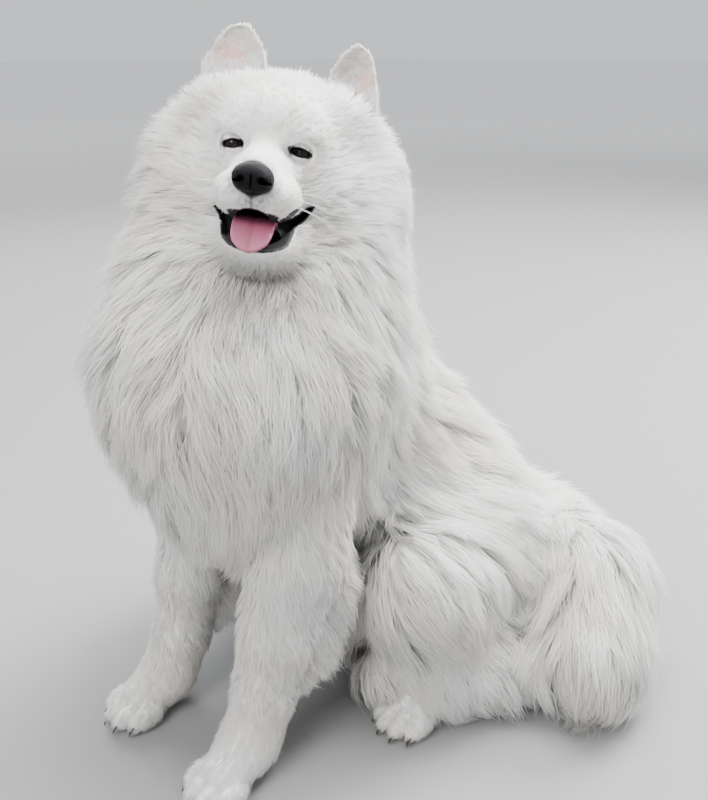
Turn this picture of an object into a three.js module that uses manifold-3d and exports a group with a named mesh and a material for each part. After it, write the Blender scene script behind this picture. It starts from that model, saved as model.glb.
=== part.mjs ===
// A seated Samoyed, modelled life size as a still figure with its long coat.
// Millimetres, +Z up. The dog faces -Y, its own left side is +X, and it sits on Z = 0.
// Every body part is one closed solid, and touching parts keep a small gap.

import * as THREE from "three";
import { mergeVertices } from "three/addons/utils/BufferGeometryUtils.js";
import Module from "manifold-3d";

const wasm = await Module();
wasm.setup();

// Driving dimensions, in millimetres and degrees
const GAP = 0.3; // clearance that touching parts keep
const CLEARANCE = 0.27; // how far a part is grown to cut its neighbour, just short of a parting plane's gap
const HEAD_AT = [20, -32, 671.5]; // point midway between the eyes, over the ground
const HEAD_YAW = 43.5; // turned to the dog's own left
const HEAD_PITCH = 11; // nose up
const HEAD_ROLL = 7.5; // left ear down
const EYE_SPACING = 66;
const EYE_RADIUS = 10.5;
const NOSE_WIDTH = 36;
const PAW_SPREAD = 82; // from the midline to each forepaw
const HIND_SPREAD = 156; // from the midline to each hind paw
const EAR_THICKNESS = 9;
const CLAW_LENGTH = 4; // beyond the toe

const TRUNK_CELL = 52; // size of the trunk's mesh cells
const PINCH = 0.002; // vertices this close are taken to share a place
const SLIVER = 0.2; // twice the area of a triangle too small to have a direction

const DEG = Math.PI / 180;

// Colours and finishes
const coat = new THREE.MeshStandardMaterial({ color: 0xf2efe9, roughness: 0.9 });
const shortCoat = new THREE.MeshStandardMaterial({ color: 0xf1ece4, roughness: 0.85 });
const leather = new THREE.MeshStandardMaterial({ color: 0x121316, roughness: 0.35 });
const eyeball = new THREE.MeshStandardMaterial({ color: 0x1d120c, roughness: 0.08 });
const tongueSkin = new THREE.MeshStandardMaterial({ color: 0xb8546a, roughness: 0.4 });

const vec = (x, y, z) => new THREE.Vector3(x, y, z);
const lerp = THREE.MathUtils.lerp;

// Distance fields. Each takes a point and returns millimetres, negative inside.
const smoothMin = (a, b, k) => {
  const h = Math.max(k - Math.abs(a - b), 0) / k;
  return Math.min(a, b) - (h * h * k) / 4;
};

const smoothMax = (a, b, k) => -smoothMin(-a, -b, k);

function coneField(p, a, b, ra, rb) {
  const dx = b.x - a.x;
  const dy = b.y - a.y;
  const dz = b.z - a.z;
  const along = (p.x - a.x) * dx + (p.y - a.y) * dy + (p.z - a.z) * dz;
  const h = Math.min(1, Math.max(0, along / (dx * dx + dy * dy + dz * dz)));
  return Math.hypot(p.x - a.x - h * dx, p.y - a.y - h * dy, p.z - a.z - h * dz) - lerp(ra, rb, h);
}

function ellipsoidField(p, c, r) {
  const qx = (p.x - c.x) / r.x;
  const qy = (p.y - c.y) / r.y;
  const qz = (p.z - c.z) / r.z;
  const k0 = Math.hypot(qx, qy, qz);
  const k1 = Math.hypot(qx / r.x, qy / r.y, qz / r.z);
  return k1 > 0 ? (k0 * (k0 - 1)) / k1 : -Math.min(r.x, r.y, r.z);
}

function gradient(field, p) {
  const e = 0.5;
  const slope = (dx, dy, dz) =>
    field(vec(p.x + dx, p.y + dy, p.z + dz)) - field(vec(p.x - dx, p.y - dy, p.z - dz));
  return vec(slope(e, 0, 0), slope(0, e, 0), slope(0, 0, e)).normalize();
}

function meshOf(positions, faces) {
  const geometry = new THREE.BufferGeometry();
  geometry.setAttribute("position", new THREE.Float32BufferAttribute(positions, 3));
  geometry.setIndex(faces);
  return geometry;
}

// Turns a field into a closed mesh: one vertex in each grid cell that the surface crosses,
// moved onto the surface, and one quad round each grid edge that changes sign.
function polygonise(field, low, high, cell) {
  const n = [high.x - low.x, high.y - low.y, high.z - low.z].map((s) => Math.ceil(s / cell) + 2);
  const index = (i, j, k) => i + (n[0] + 1) * (j + (n[1] + 1) * k);
  const at = (i, j, k) => vec(low.x + (i - 1) * cell, low.y + (j - 1) * cell, low.z + (k - 1) * cell);
  const values = new Float64Array((n[0] + 1) * (n[1] + 1) * (n[2] + 1));
  for (let k = 0; k <= n[2]; k++)
    for (let j = 0; j <= n[1]; j++)
      for (let i = 0; i <= n[0]; i++) values[index(i, j, k)] = field(at(i, j, k));

  const corners = [0, 1, 2, 3, 4, 5, 6, 7].map((c) => [c & 1, (c >> 1) & 1, c >> 2]);
  const vertexOf = new Map();
  const positions = [];
  const addVertex = (i, j, k) => {
    const v = corners.map(([a, b, c]) => values[index(i + a, j + b, k + c)]);
    const sum = vec(0, 0, 0);
    let crossings = 0;
    for (let a = 0; a < 8; a++)
      for (const bit of [1, 2, 4]) {
        const b = a | bit;
        if (a === b || v[a] < 0 === v[b] < 0) continue;
        const pa = at(i + corners[a][0], j + corners[a][1], k + corners[a][2]);
        const pb = at(i + corners[b][0], j + corners[b][1], k + corners[b][2]);
        sum.add(pa.lerp(pb, v[a] / (v[a] - v[b])));
        crossings += 1;
      }
    if (crossings === 0) return;
    const p = sum.divideScalar(crossings);
    const miss = THREE.MathUtils.clamp(field(p), -cell / 3, cell / 3);
    p.addScaledVector(gradient(field, p), -miss);
    vertexOf.set(index(i, j, k), positions.length / 3);
    positions.push(p.x, p.y, p.z);
  };
  for (let k = 0; k < n[2]; k++)
    for (let j = 0; j < n[1]; j++)
      for (let i = 0; i < n[0]; i++) addVertex(i, j, k);

  const step = [
    [1, 0, 0],
    [0, 1, 0],
    [0, 0, 1],
  ];
  const faces = [];
  for (let k = 1; k < n[2]; k++)
    for (let j = 1; j < n[1]; j++)
      for (let i = 1; i < n[0]; i++)
        for (let axis = 0; axis < 3; axis++) {
          const [di, dj, dk] = step[axis];
          const here = values[index(i, j, k)] < 0;
          if (here === values[index(i + di, j + dj, k + dk)] < 0) continue;
          const u = step[(axis + 1) % 3];
          const w = step[(axis + 2) % 3];
          const cellAt = (a, b) =>
            vertexOf.get(index(i - a * u[0] - b * w[0], j - a * u[1] - b * w[1], k - a * u[2] - b * w[2]));
          const quad = [cellAt(0, 0), cellAt(1, 0), cellAt(1, 1), cellAt(0, 1)];
          if (!here) quad.reverse();
          faces.push(quad[0], quad[1], quad[2], quad[0], quad[2], quad[3]);
        }
  return meshOf(positions, faces);
}

// Solids: joining and cutting closed meshes
function solidFrom(positions, faces) {
  return new wasm.Manifold(
    new wasm.Mesh({
      numProp: 3,
      vertProperties: new Float32Array(positions),
      triVerts: new Uint32Array(faces),
    }),
  );
}

function solidOf(geometry) {
  const plain = geometry.clone();
  plain.deleteAttribute("normal");
  plain.deleteAttribute("uv");
  const merged = mergeVertices(plain, 1e-3);
  return solidFrom(merged.attributes.position.array, merged.index.array);
}

function geometryOf(solid) {
  const mesh = solid.getMesh();
  return meshOf(mesh.vertProperties, Array.from(mesh.triVerts));
}

const fieldSolid = (field, low, high, cell) => solidOf(polygonise(field, low, high, cell));
const joined = (solids) => solids.reduce((sum, solid) => sum.add(solid));
const cut = (solid, tools) => tools.reduce((rest, tool) => rest.subtract(tool), solid);

// Draws apart the vertices that share a place, each towards its own neighbours
function unpinched(solid) {
  const geometry = geometryOf(solid);
  const p = geometry.attributes.position;
  const faces = geometry.index.array;
  const point = (i) => vec(0, 0, 0).fromBufferAttribute(p, i);
  const place = (i) => point(i).multiplyScalar(1 / PINCH).round().toArray().join();
  const sharing = new Map();
  for (let i = 0; i < p.count; i++) sharing.set(place(i), [...(sharing.get(place(i)) ?? []), i]);
  const pulls = new Map();
  for (const group of sharing.values()) {
    if (group.length > 1) for (const i of group) pulls.set(i, vec(0, 0, 0));
  }
  for (let i = 0; i < faces.length; i += 3)
    for (let k = 0; k < 3; k++) {
      const pull = pulls.get(faces[i + k]);
      for (const other of [1, 2]) {
        pull?.add(point(faces[i + ((k + other) % 3)]).sub(point(faces[i + k])).normalize());
      }
    }
  for (const [i, pull] of pulls) {
    const to = point(i).addScaledVector(pull.normalize(), 10 * PINCH);
    p.setXYZ(i, to.x, to.y, to.z);
  }
  return solidFrom(p.array, faces);
}

// The largest closed surface of a solid, which fills sealed hollows and drops loose scraps.
// Close vertices are joined first, so that a hollow behind a pinched opening is filled too.
function largest(solid) {
  const bodies = solidOf(geometryOf(solid)).decompose();
  return unpinched(bodies.reduce((best, piece) => (piece.volume() > best.volume() ? piece : best)));
}

// The direction that leads furthest away from the least well placed of some faces
function awayFrom(normals) {
  const least = (d) => normals.reduce((worst, n) => (n.dot(d) < worst.dot(d) ? n : worst));
  const away = normals.reduce((sum, n) => sum.add(n), vec(0, 0, 0)).normalize();
  let best = away.clone();
  for (let pass = 1; pass <= 60; pass++) {
    away.addScaledVector(least(away), 2 / (pass + 3)).normalize();
    if (least(away).dot(away) > least(best).dot(best)) best = away.clone();
  }
  return [best, least(best).dot(best)];
}

// The solid with its surface moved outwards, for cutting a neighbour clear of it. Slivers have no say.
function grown(solid) {
  const geometry = geometryOf(solid);
  const p = geometry.attributes.position;
  const faces = geometry.index.array;
  const facing = Array.from({ length: p.count }, () => []);
  for (let i = 0; i < faces.length; i += 3) {
    const [a, b, c] = [0, 1, 2].map((k) => vec(0, 0, 0).fromBufferAttribute(p, faces[i + k]));
    const normal = b.sub(a).cross(c.sub(a));
    if (normal.length() < SLIVER) continue;
    for (let k = 0; k < 3; k++) facing[faces[i + k]].push(normal.clone().normalize());
  }
  facing.forEach((normals, i) => {
    if (normals.length === 0) return;
    const [push, lean] = awayFrom(normals);
    push.multiplyScalar(CLEARANCE / Math.max(lean, 1 / 3));
    p.setXYZ(i, p.getX(i) + push.x, p.getY(i) + push.y, p.getZ(i) + push.z);
  });
  return solidFrom(p.array, faces);
}

function moved(solid, matrix) {
  const geometry = geometryOf(solid).applyMatrix4(matrix);
  return solidFrom(geometry.attributes.position.array, geometry.index.array);
}

// Everything on the near side of a plane, away from its normal, half a gap short of it
function behind(point, normal) {
  const size = 3000;
  const box = new THREE.BoxGeometry(size, size, size).translate(0, 0, -(size + GAP) / 2);
  box.applyQuaternion(new THREE.Quaternion().setFromUnitVectors(vec(0, 0, 1), normal.clone().normalize()));
  return solidOf(box.translate(point.x, point.y, point.z));
}

const ahead = (point, normal) => behind(point, normal.clone().negate());
const ABOVE_GROUND = solidOf(new THREE.BoxGeometry(3000, 3000, 3000).translate(0, 0, 1500));

// Closes a stack of equal rings into a solid. A first or last ring of one point is a tip.
function stacked(rings) {
  const positions = rings.flat().flatMap((p) => [p.x, p.y, p.z]);
  const sides = rings[1].length;
  const faces = [];
  let start = 0;
  for (let r = 0; r + 1 < rings.length; r++) {
    const next = start + rings[r].length;
    for (let s = 0; s < sides; s++) {
      const t = (s + 1) % sides;
      if (rings[r].length === 1) faces.push(start, next + t, next + s);
      else if (rings[r + 1].length === 1) faces.push(start + s, start + t, next);
      else faces.push(start + s, start + t, next + t, start + s, next + t, next + s);
    }
    start = next;
  }
  for (let s = 1; s + 1 < sides; s++) {
    if (rings[0].length > 1) faces.push(0, s + 1, s);
    if (rings.at(-1).length > 1) faces.push(start, start + s, start + s + 1);
  }
  return outwards(positions, faces);
}

// Where a ray from inside a field first leaves it
function cast(field, from, direction) {
  const at = (t) => from.clone().addScaledVector(direction, t);
  let far = 4;
  while (field(at(far)) < 0) far += 4;
  let near = far - 4;
  for (let i = 0; i < 10; i++) {
    const half = (near + far) / 2;
    if (field(at(half)) < 0) near = half;
    else far = half;
  }
  return at((near + far) / 2);
}

// Skins a field by casting rays outwards from a spine: flat rings along it and a dome at each end.
// The whole surface has to be in sight of the spine.
function castSkin(field, spine, sides, domeRings, up = vec(0, 0, 1)) {
  const last = spine.length - 1;
  const ringAt = (i, tilt) => {
    const tangent = spine[Math.min(i + 1, last)].clone().sub(spine[Math.max(i - 1, 0)]).normalize();
    const across = up.clone().cross(tangent).normalize();
    const over = tangent.clone().cross(across);
    if (Math.abs(tilt) === 90) return [cast(field, spine[i], tangent.multiplyScalar(Math.sign(tilt)))];
    return Array.from({ length: sides }, (_, s) => {
      const a = (s / sides) * 2 * Math.PI;
      const radial = across.clone().multiplyScalar(Math.cos(a)).addScaledVector(over, Math.sin(a));
      radial.multiplyScalar(Math.cos(tilt * DEG)).addScaledVector(tangent, Math.sin(tilt * DEG));
      return cast(field, spine[i], radial);
    });
  };
  const dome = Array.from({ length: domeRings }, (_, c) => ((c + 1) / domeRings) * 90);
  return stacked([
    ...dome.toReversed().map((tilt) => ringAt(0, -tilt)),
    ...spine.map((_, i) => ringAt(i, 0)),
    ...dome.map((tilt) => ringAt(last, tilt)),
  ]);
}

// Evenly spaced points on a smooth curve through the joints
const spineOf = (joints, count) =>
  new THREE.CatmullRomCurve3(joints.map((j) => j.at)).getSpacedPoints(count - 1);

// Closes a strip of rings end to end, like a bent hoop
function hoop(rings) {
  const positions = rings.flat().flatMap((p) => [p.x, p.y, p.z]);
  const sides = rings[0].length;
  const faces = [];
  for (let r = 0; r < rings.length; r++)
    for (let s = 0; s < sides; s++) {
      const t = (s + 1) % sides;
      const a = r * sides;
      const b = ((r + 1) % rings.length) * sides;
      faces.push(a + s, a + t, b + t, a + s, b + t, b + s);
    }
  return outwards(positions, faces);
}

function outwards(positions, faces) {
  const corner = (i) => vec(...positions.slice(3 * faces[i], 3 * faces[i] + 3));
  let volume = 0;
  for (let i = 0; i < faces.length; i += 3) volume += corner(i).dot(corner(i + 1).cross(corner(i + 2)));
  return solidFrom(positions, volume > 0 ? faces : faces.slice().reverse());
}

function ball(at, radii, across, down) {
  const geometry = new THREE.SphereGeometry(1, across, down).rotateX(Math.PI / 2);
  return solidOf(geometry.scale(radii.x, radii.y, radii.z).translate(at.x, at.y, at.z));
}

// The long coat. A coat here is a core and an outer surface, both as fields, and the lie of the hair.
const HALF_COAT = 28; // from the tips down to the core, half the depth of the coat
const ROOT_DEPTH = 11; // how far a lock's root is sunk into the core
const LOCK_THICKNESS = 9;
const LOCK_SWAY = 8; // most degrees that a lock turns aside over its length
const EDGE_CURL = 4; // how far a lock's edges bend down
const LOCK_STATIONS = [
  { along: 0, rise: 0, width: 0.8, ridge: 0.5 },
  { along: 0.3, rise: 0.4, width: 1, ridge: 1 },
  { along: 0.66, rise: 0.84, width: 0.76, ridge: 0.9 },
  { along: 1, rise: 1.2, width: 0, ridge: 0 },
];

// Repeatable random numbers between -1 and 1
function scatter(seed) {
  let state = seed;
  return () => {
    state = (Math.imul(state, 1664525) + 1013904223) >>> 0;
    return state / 2 ** 31 - 1;
  };
}

// One lock: a flat, keeled blade that leaves the core, bends over and tapers along the lie
function lock({ core, outer, lie }, root, length, width, sway) {
  const settled = (p, rise, depth) => {
    const field = (q) => lerp(core(q), outer(q), rise) + depth;
    for (let i = 0; i < 3; i++) {
      const miss = THREE.MathUtils.clamp(field(p), -25, 25);
      p.addScaledVector(gradient(field, p), -miss);
    }
    return p;
  };
  const directions = (p, turn) => {
    const normal = gradient(outer, p);
    const forwards = lie(p).normalize().applyAxisAngle(normal, turn * DEG);
    forwards.addScaledVector(normal, -normal.dot(forwards)).normalize();
    return { normal, forwards };
  };
  const at = root.clone();
  let before = 0;
  const rings = LOCK_STATIONS.map(({ along, rise, width: share, ridge }) => {
    const steps = 3;
    for (let i = 0; i < steps && along > 0; i++)
      at.addScaledVector(directions(at, sway * along).forwards, ((along - before) * length) / steps);
    before = along;
    const depth = along === 0 ? ROOT_DEPTH : 0;
    settled(at, rise, depth);
    if (share === 0) return [at.clone()];
    const { normal, forwards } = directions(at, sway * along);
    const across = normal.clone().cross(forwards);
    const aside = (s) => at.clone().addScaledVector(across, (s * share * width) / 2);
    const edge = (s) => settled(aside(s), rise, depth + EDGE_CURL);
    return [edge(-1), at.clone(), edge(1), at.clone().addScaledVector(normal, LOCK_THICKNESS * ridge)];
  });
  return stacked(rings);
}

// Rows of locks round an axis, staggered from row to row. A row's locks start where rays at even
// angles leave the core, from the direction `zero` turned about `axis`.
function locks(coatHere, rows, { length, width, seed }, skip = () => false) {
  const random = scatter(seed);
  const found = [];
  rows.forEach(({ at, axis, zero, from, to, count }, row) => {
    const spacing = (to - from) / count;
    for (let i = 0; i < count; i++) {
      const stagger = row % 2 === 0 ? 0.25 : 0.75;
      const angle = from + (i + stagger + 0.16 * random()) * spacing;
      const direction = zero.clone().applyAxisAngle(axis, angle * DEG).normalize();
      const start = cast(coatHere.core, at, direction);
      const [l, w] = [length * (1 + 0.16 * random()), width * (1 + 0.12 * random())];
      const sway = LOCK_SWAY * random();
      if (!skip(start)) found.push(lock(coatHere, start, l, w, sway));
    }
  });
  return found;
}

// Body joints: centre and radius of the coat's outer surface there
const joint = (x, y, z, r) => ({ at: vec(x, y, z), r });
const onRight = (j) => ({ at: vec(-j.at.x, j.at.y, j.at.z), r: j.r });
const BODY = {
  nape: joint(-24, 30, 614, 98),
  throat: joint(-28, 4, 524, 150),
  breast: joint(-18, -38, 432, 168),
  girth: joint(-12, -36, 342, 146),
  withers: joint(0, 54, 428, 102),
  loin: joint(0, 170, 258, 130),
  croup: joint(0, 226, 160, 156),
  belly: joint(8, 96, 134, 104),
};
const FORELEG = [
  joint(PAW_SPREAD - 2, -52, 320, 60),
  joint(PAW_SPREAD + 3, -66, 252, 56),
  joint(PAW_SPREAD, -94, 168, 43),
  joint(PAW_SPREAD - 2, -116, 88, 35),
  joint(PAW_SPREAD - 1, -138, 42, 31),
];
const FORELEG_FEATHER = [joint(PAW_SPREAD + 2, -30, 196, 48), joint(PAW_SPREAD, -54, 108, 36)];
const THIGH = [joint(108, 190, 148, 112), joint(146, 76, 180, 84), joint(148, 130, 66, 62)];
const BREECHES = [joint(114, 50, 50, 60), joint(160, 120, 46, 72), joint(204, 176, 46, 66)];
const HOCK = [joint(HIND_SPREAD - 6, 124, 44, 42), joint(HIND_SPREAD - 2, 84, 32, 32)];
const TAIL = [
  joint(20, 326, 92, 62),
  joint(124, 352, 112, 92),
  joint(224, 306, 106, 102),
  joint(288, 232, 68, 84),
];
const TRUNK_BLEND = 45;

// A chain of round cones between joints
const chain = (joints, blend) => (p) => {
  const cones = joints.slice(1).map((b, i) => coneField(p, joints[i].at, b.at, joints[i].r, b.r));
  return cones.reduce((d, cone) => smoothMin(d, cone, blend));
};

// Head, in its own frame: origin midway between the eyes, -Y forwards, +X the dog's left
const headFrame = new THREE.Matrix4().compose(
  vec(...HEAD_AT),
  new THREE.Quaternion().setFromEuler(
    new THREE.Euler(-HEAD_PITCH * DEG, HEAD_ROLL * DEG, HEAD_YAW * DEG, "ZXY"),
  ),
  vec(1, 1, 1),
);
const toHeadFrame = headFrame.clone().invert();
const EYE_DEPTH = 5;
const MUZZLE_BEND = 4; // the nose's offset to the dog's left
const NOSE_AT = vec(MUZZLE_BEND, -92, -33);
const SKULL_AT = vec(4, 52, 12);
const CHEEK_AT = vec(46, 46, -40);
const TEMPLE_AT = vec(54, 60, 38);
const FLEW_AT = vec(20, -54, -46);
const JAW_AT = vec(7, -46, -91);
const MOUTH_CORNER = [-30, -53];
const HEAD_SPINE = [-70, -58, -46, -34, -24, -15, -7, 2, 14, 32, 56].map((y) =>
  vec(4, y, y < -20 ? -56 : lerp(-56, -24, (y + 20) / 80)),
);

function headField(p) {
  const side = vec(Math.abs(p.x - 2), p.y, p.z);
  const flewSide = vec(Math.abs(p.x - MUZZLE_BEND), p.y, p.z);
  let d = ellipsoidField(p, SKULL_AT, vec(70, 70, 66));
  d = smoothMin(d, ellipsoidField(side, vec(0, 6, 20), vec(48, 27, 30)), 24);
  d = smoothMin(d, ellipsoidField(side, CHEEK_AT, vec(50, 54, 54)), 26);
  d = smoothMin(d, ellipsoidField(side, TEMPLE_AT, vec(36, 34, 30)), 20);
  d = smoothMin(d, coneField(p, vec(1, -4, -29), vec(MUZZLE_BEND, -68, -39), 36, 25), 14);
  d = smoothMin(d, coneField(p, vec(0, 0, -7), vec(MUZZLE_BEND, -84, -25), 16, 11), 12);
  d = smoothMin(d, ellipsoidField(flewSide, FLEW_AT, vec(21, 34, 21)), 9);
  d = smoothMin(d, ellipsoidField(side, vec(31, -4, 17), vec(18, 13, 8)), 8);
  d = smoothMax(d, -ellipsoidField(side, vec(33, -21, -3), vec(15, 13, 9)), 7);
  const jaw = smoothMin(
    coneField(p, vec(2, 30, -84), vec(5, -18, -84), 40, 33),
    ellipsoidField(p, JAW_AT, vec(32, 34, 17)),
    12,
  );
  const between = coneField(p, vec(3, 4, -66), vec(6, -52, -78), 32, 20);
  return smoothMin(smoothMin(d, jaw, 7), between, 8);
}

// Tufts frame the face at the cheeks and the crown, and lie back over the ruff
const headCoat = {
  outer: (p) => headField(p) - 20,
  core: headField,
  lie: (p) => vec(0.7 * (p.x - 2), 80, 0.4 * (p.z + 20)).normalize().add(vec(0, 0, -0.25)),
};
const CHEEK_ROWS = [
  { at: vec(2, 34, -30), axis: vec(0, 1, 0), zero: vec(0, 0.1, 1), from: -128, to: 128, count: 8 },
];

// The whole trunk. The ruff is two lobes behind the cheeks, rounded off in front round the face.
const RUFF_AT = vec(62, 82, -20);
const RUFF_RADII = vec(88, 72, 96);
const COLLAR_AT = vec(0, 50, 40);
const COLLAR_NORMAL = vec(0, -0.855, 0.519);
const COLLAR_ROUNDING = 70;

const FRONT = chain([BODY.nape, BODY.throat, BODY.breast, BODY.girth], TRUNK_BLEND);
const BACK = chain([BODY.throat, BODY.withers, BODY.loin, BODY.croup, BODY.belly], TRUNK_BLEND);

// The trunk with its surface cut back by one depth, and by another round the face
const trunkAt = (depth, faceDepth) => (p) => {
  const local = p.clone().applyMatrix4(toHeadFrame);
  const lobe = ellipsoidField(vec(Math.abs(local.x + 2), local.y, local.z), RUFF_AT, RUFF_RADII);
  const body = smoothMin(smoothMin(FRONT(p), BACK(p), TRUNK_BLEND), lobe, TRUNK_BLEND);
  return smoothMax(body + depth, local.sub(COLLAR_AT).dot(COLLAR_NORMAL) + faceDepth, COLLAR_ROUNDING);
};

// Round the face the hair lies outwards, then down, and along the back towards the tail
const trunkCoat = {
  outer: trunkAt(0, 0),
  core: trunkAt(HALF_COAT, 8),
  lie: (p) => {
    const local = p.clone().applyMatrix4(toHeadFrame);
    const fromFace = vec(local.x - 2, 45, local.z + 20).normalize().transformDirection(headFrame);
    const backwards = THREE.MathUtils.smoothstep(p.y, -20, 150);
    const nearFace = THREE.MathUtils.smoothstep(p.z, 500, 640);
    return vec(0, 0.8 * backwards, -1).addScaledVector(fromFace, 1.4 * nearFace);
  },
};

// The open mouth: a wedge seen from the side, and the hollows of palate and jaw
function mouth() {
  const side = new THREE.Shape();
  side.moveTo(...MOUTH_CORNER);
  side.bezierCurveTo(-42, -66, -62, -71, -84, -62);
  side.lineTo(-130, -56);
  side.lineTo(-130, -101);
  side.lineTo(-84, -98);
  side.bezierCurveTo(-66, -93, -50, -82, ...MOUTH_CORNER);
  const wedge = new THREE.ExtrudeGeometry(side, { depth: 160, bevelEnabled: false, curveSegments: 3 });
  wedge.applyMatrix4(new THREE.Matrix4().makeBasis(vec(0, 1, 0), vec(0, 0, 1), vec(1, 0, 0)));
  wedge.translate(-80, 0, 0);
  const palate = ball(vec(4, -40, -63), vec(19, 44, 9), 8, 6);
  const floor = ball(vec(6, -36, -84), vec(21, 40, 12), 8, 6);
  return joined([solidOf(wedge), palate, floor]);
}

const eyeAt = (side) => vec((side * EYE_SPACING) / 2, EYE_DEPTH, 0);

// The opening in front of one eyeball, which the lids then cover in part
const orbit = (side) =>
  ball(eyeAt(side), vec(13.5, 26, 12.5), 10, 6).intersect(behind(eyeAt(side), vec(0, 1, 0)));

// Both lids of one eye: a bent hoop over the eyeball, round an almond opening
function lids(side) {
  const steps = 10;
  const centre = eyeAt(side);
  const inner = EYE_RADIUS + 2 * GAP;
  const rings = [];
  for (let i = 0; i < steps; i++) {
    const t = (i / steps) * 2 * Math.PI;
    const edge = vec(11.5 * Math.cos(t), 0, 4.8 * Math.sin(t) - 1.2 * side * Math.cos(t));
    const outward = vec(Math.cos(t), 0, Math.sin(t));
    const over = (scale, radius) => {
      const [x, z] = [edge.x * scale, edge.z * scale];
      return centre.clone().add(vec(x, -Math.sqrt(radius * radius - x * x - z * z), z));
    };
    rings.push([
      over(0.88, inner),
      over(0.9, inner + 1.8),
      over(1.02, inner + 2.4).addScaledVector(outward, 3.5),
      centre.clone().addScaledVector(outward, 18),
    ]);
  }
  return hoop(rings);
}

function noseField(p) {
  const x = Math.abs(p.x - NOSE_AT.x);
  const side = vec(x, p.y, p.z);
  const half = NOSE_WIDTH / 2;
  let d = ellipsoidField(side, vec(0, NOSE_AT.y, NOSE_AT.z + 2), vec(half - 1, 12, 12));
  d = smoothMin(d, ellipsoidField(side, vec(10, NOSE_AT.y - 1, NOSE_AT.z - 1), vec(half - 10, 10, 10)), 5);
  d = smoothMin(d, coneField(side, vec(0, NOSE_AT.y + 2, NOSE_AT.z - 6), vec(0, -84, -48), 8, 5), 5);
  return smoothMax(d, -ellipsoidField(side, vec(10, NOSE_AT.y - 12, NOSE_AT.z - 1), vec(4.6, 8, 4)), 2);
}

// Cross-sections of the tongue from its root to the tip, with a groove along its middle
function tongue() {
  const stations = [
    [-4, -84, 14, 8],
    [-24, -82, 17, 7],
    [-42, -79, 18.5, 6],
    [-56, -80, 19.5, 5],
    [-68, -86, 19, 4.5],
    [-76, -92, 14, 3.5],
    [-79.5, -96, 7, 2.2],
  ];
  const rings = stations.map(([y, z, half, thick], i) => {
    const [before, after] = [stations[Math.max(i - 1, 0)], stations[Math.min(i + 1, stations.length - 1)]];
    const along = vec(0, after[0] - before[0], after[1] - before[1]).normalize();
    const up = vec(0, along.z, -along.y);
    const centre = vec(MUZZLE_BEND + 3, y, z);
    const across = [-1, -0.85, -0.4, 0, 0.4, 0.85, 1, 0.7, 0, -0.7];
    const lift = [0, 0.85, 1, 0.45, 1, 0.85, 0, -0.8, -1, -0.8];
    return across.map((s, j) => vec(s * half, 0, 0).addScaledVector(up, lift[j] * thick).add(centre));
  });
  return stacked(rings);
}

// One ear: cupped sections from the root up to a rounded tip
function ear({ inner, outer, tip }) {
  const base = inner.clone().lerp(outer, 0.5);
  const across = outer.clone().sub(inner);
  const up = tip.clone().sub(base);
  const back = up.clone().cross(across).normalize();
  if (back.y < 0) back.negate();
  const profile = [
    [-0.8, 0.45],
    [-0.4, 0.75],
    [-0.05, 0.98],
    [0.18, 0.98],
    [0.42, 0.85],
    [0.64, 0.64],
    [0.82, 0.42],
    [0.94, 0.24],
    [1, 0.1],
  ];
  const rings = profile.map(([t, width]) => {
    const point = (s, depth) =>
      base
        .clone()
        .addScaledVector(up, t)
        .addScaledVector(vec(-base.x, 0, 0), t < -0.1 ? -0.4 * t : 0)
        .addScaledVector(across, (s * width) / 2)
        .addScaledVector(back, 13 * width * (1 - s * s) - 6 + depth);
    const front = [-1, -0.5, 0, 0.5, 1].map((s) => point(s, 0));
    const rear = [0.93, 0.5, 0, -0.5, -0.93].map((s) => point(s, EAR_THICKNESS * (1 - 0.45 * s * s)));
    return [...front, ...rear];
  });
  return stacked(rings);
}

const EARS = {
  ear_left: { inner: vec(46, 62, 78), outer: vec(96, 62, 42), tip: vec(78, 74, 116) },
  ear_right: { inner: vec(-20, 66, 82), outer: vec(-84, 64, 60), tip: vec(-56, 80, 123) },
};

// A paw: pastern and pad with four toes, the middle two longest
const TOE_SPREAD = [-27, -9.5, 9.5, 27];
const toeReach = (spread) => (Math.abs(spread) > 20 ? 38 : 49);

function paw(x, y, pastern) {
  const pad = { at: vec(x, y, 22), r: 28 };
  const bones = [...pastern, pad];
  const body = castSkin(chain(bones, 16), spineOf(bones, 5), 10, 2, vec(1, 0, 0));
  const toes = TOE_SPREAD.map((spread) => {
    const reach = toeReach(spread);
    const toe = ball(vec(0, 0, 0), vec(12, 25, 15), 6, 4);
    const turn = new THREE.Matrix4().makeRotationZ(-0.006 * spread);
    return moved(toe, turn.setPosition(x + 0.93 * spread, y - reach + 25, 15));
  });
  return [body, ...toes, ...claws(x, y)];
}

function claws(x, y) {
  return TOE_SPREAD.map((spread) => {
    const front = y - toeReach(spread);
    const root = vec(x + spread, front + 8, 14);
    const tip = vec(x + spread * 1.04, front - CLAW_LENGTH, 6);
    const ring = (t, r) =>
      [0, 1, 2, 3].map((s) => {
        const a = (s / 4) * 2 * Math.PI;
        const along = root.clone().lerp(tip, t);
        return along.add(vec(r * Math.cos(a), 0, r * Math.sin(a) + 2 * Math.sin(Math.PI * t)));
      });
    return stacked([ring(0, 3.8), ring(0.6, 3), [tip]]);
  });
}

// Cutting order: each part is cut clear of all that come before it. A part comes as a list of simple
// pieces, and its cutter is the same pieces, each one grown.
const solids = new Map();
const cutters = new Map();

function settle(name, pieces, neighbours) {
  const rest = cut(joined(pieces).intersect(ABOVE_GROUND), neighbours.map((n) => cutters.get(n)));
  solids.set(name, largest(rest));
  cutters.set(name, joined(pieces.map(grown)));
}

// Head pieces, in the head's frame
const headPieces = new Map();

function settleHead(name, pieces, tools) {
  headPieces.set(name, largest(cut(joined(pieces), tools)));
  cutters.set(name, joined(pieces.map(grown)));
}

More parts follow.
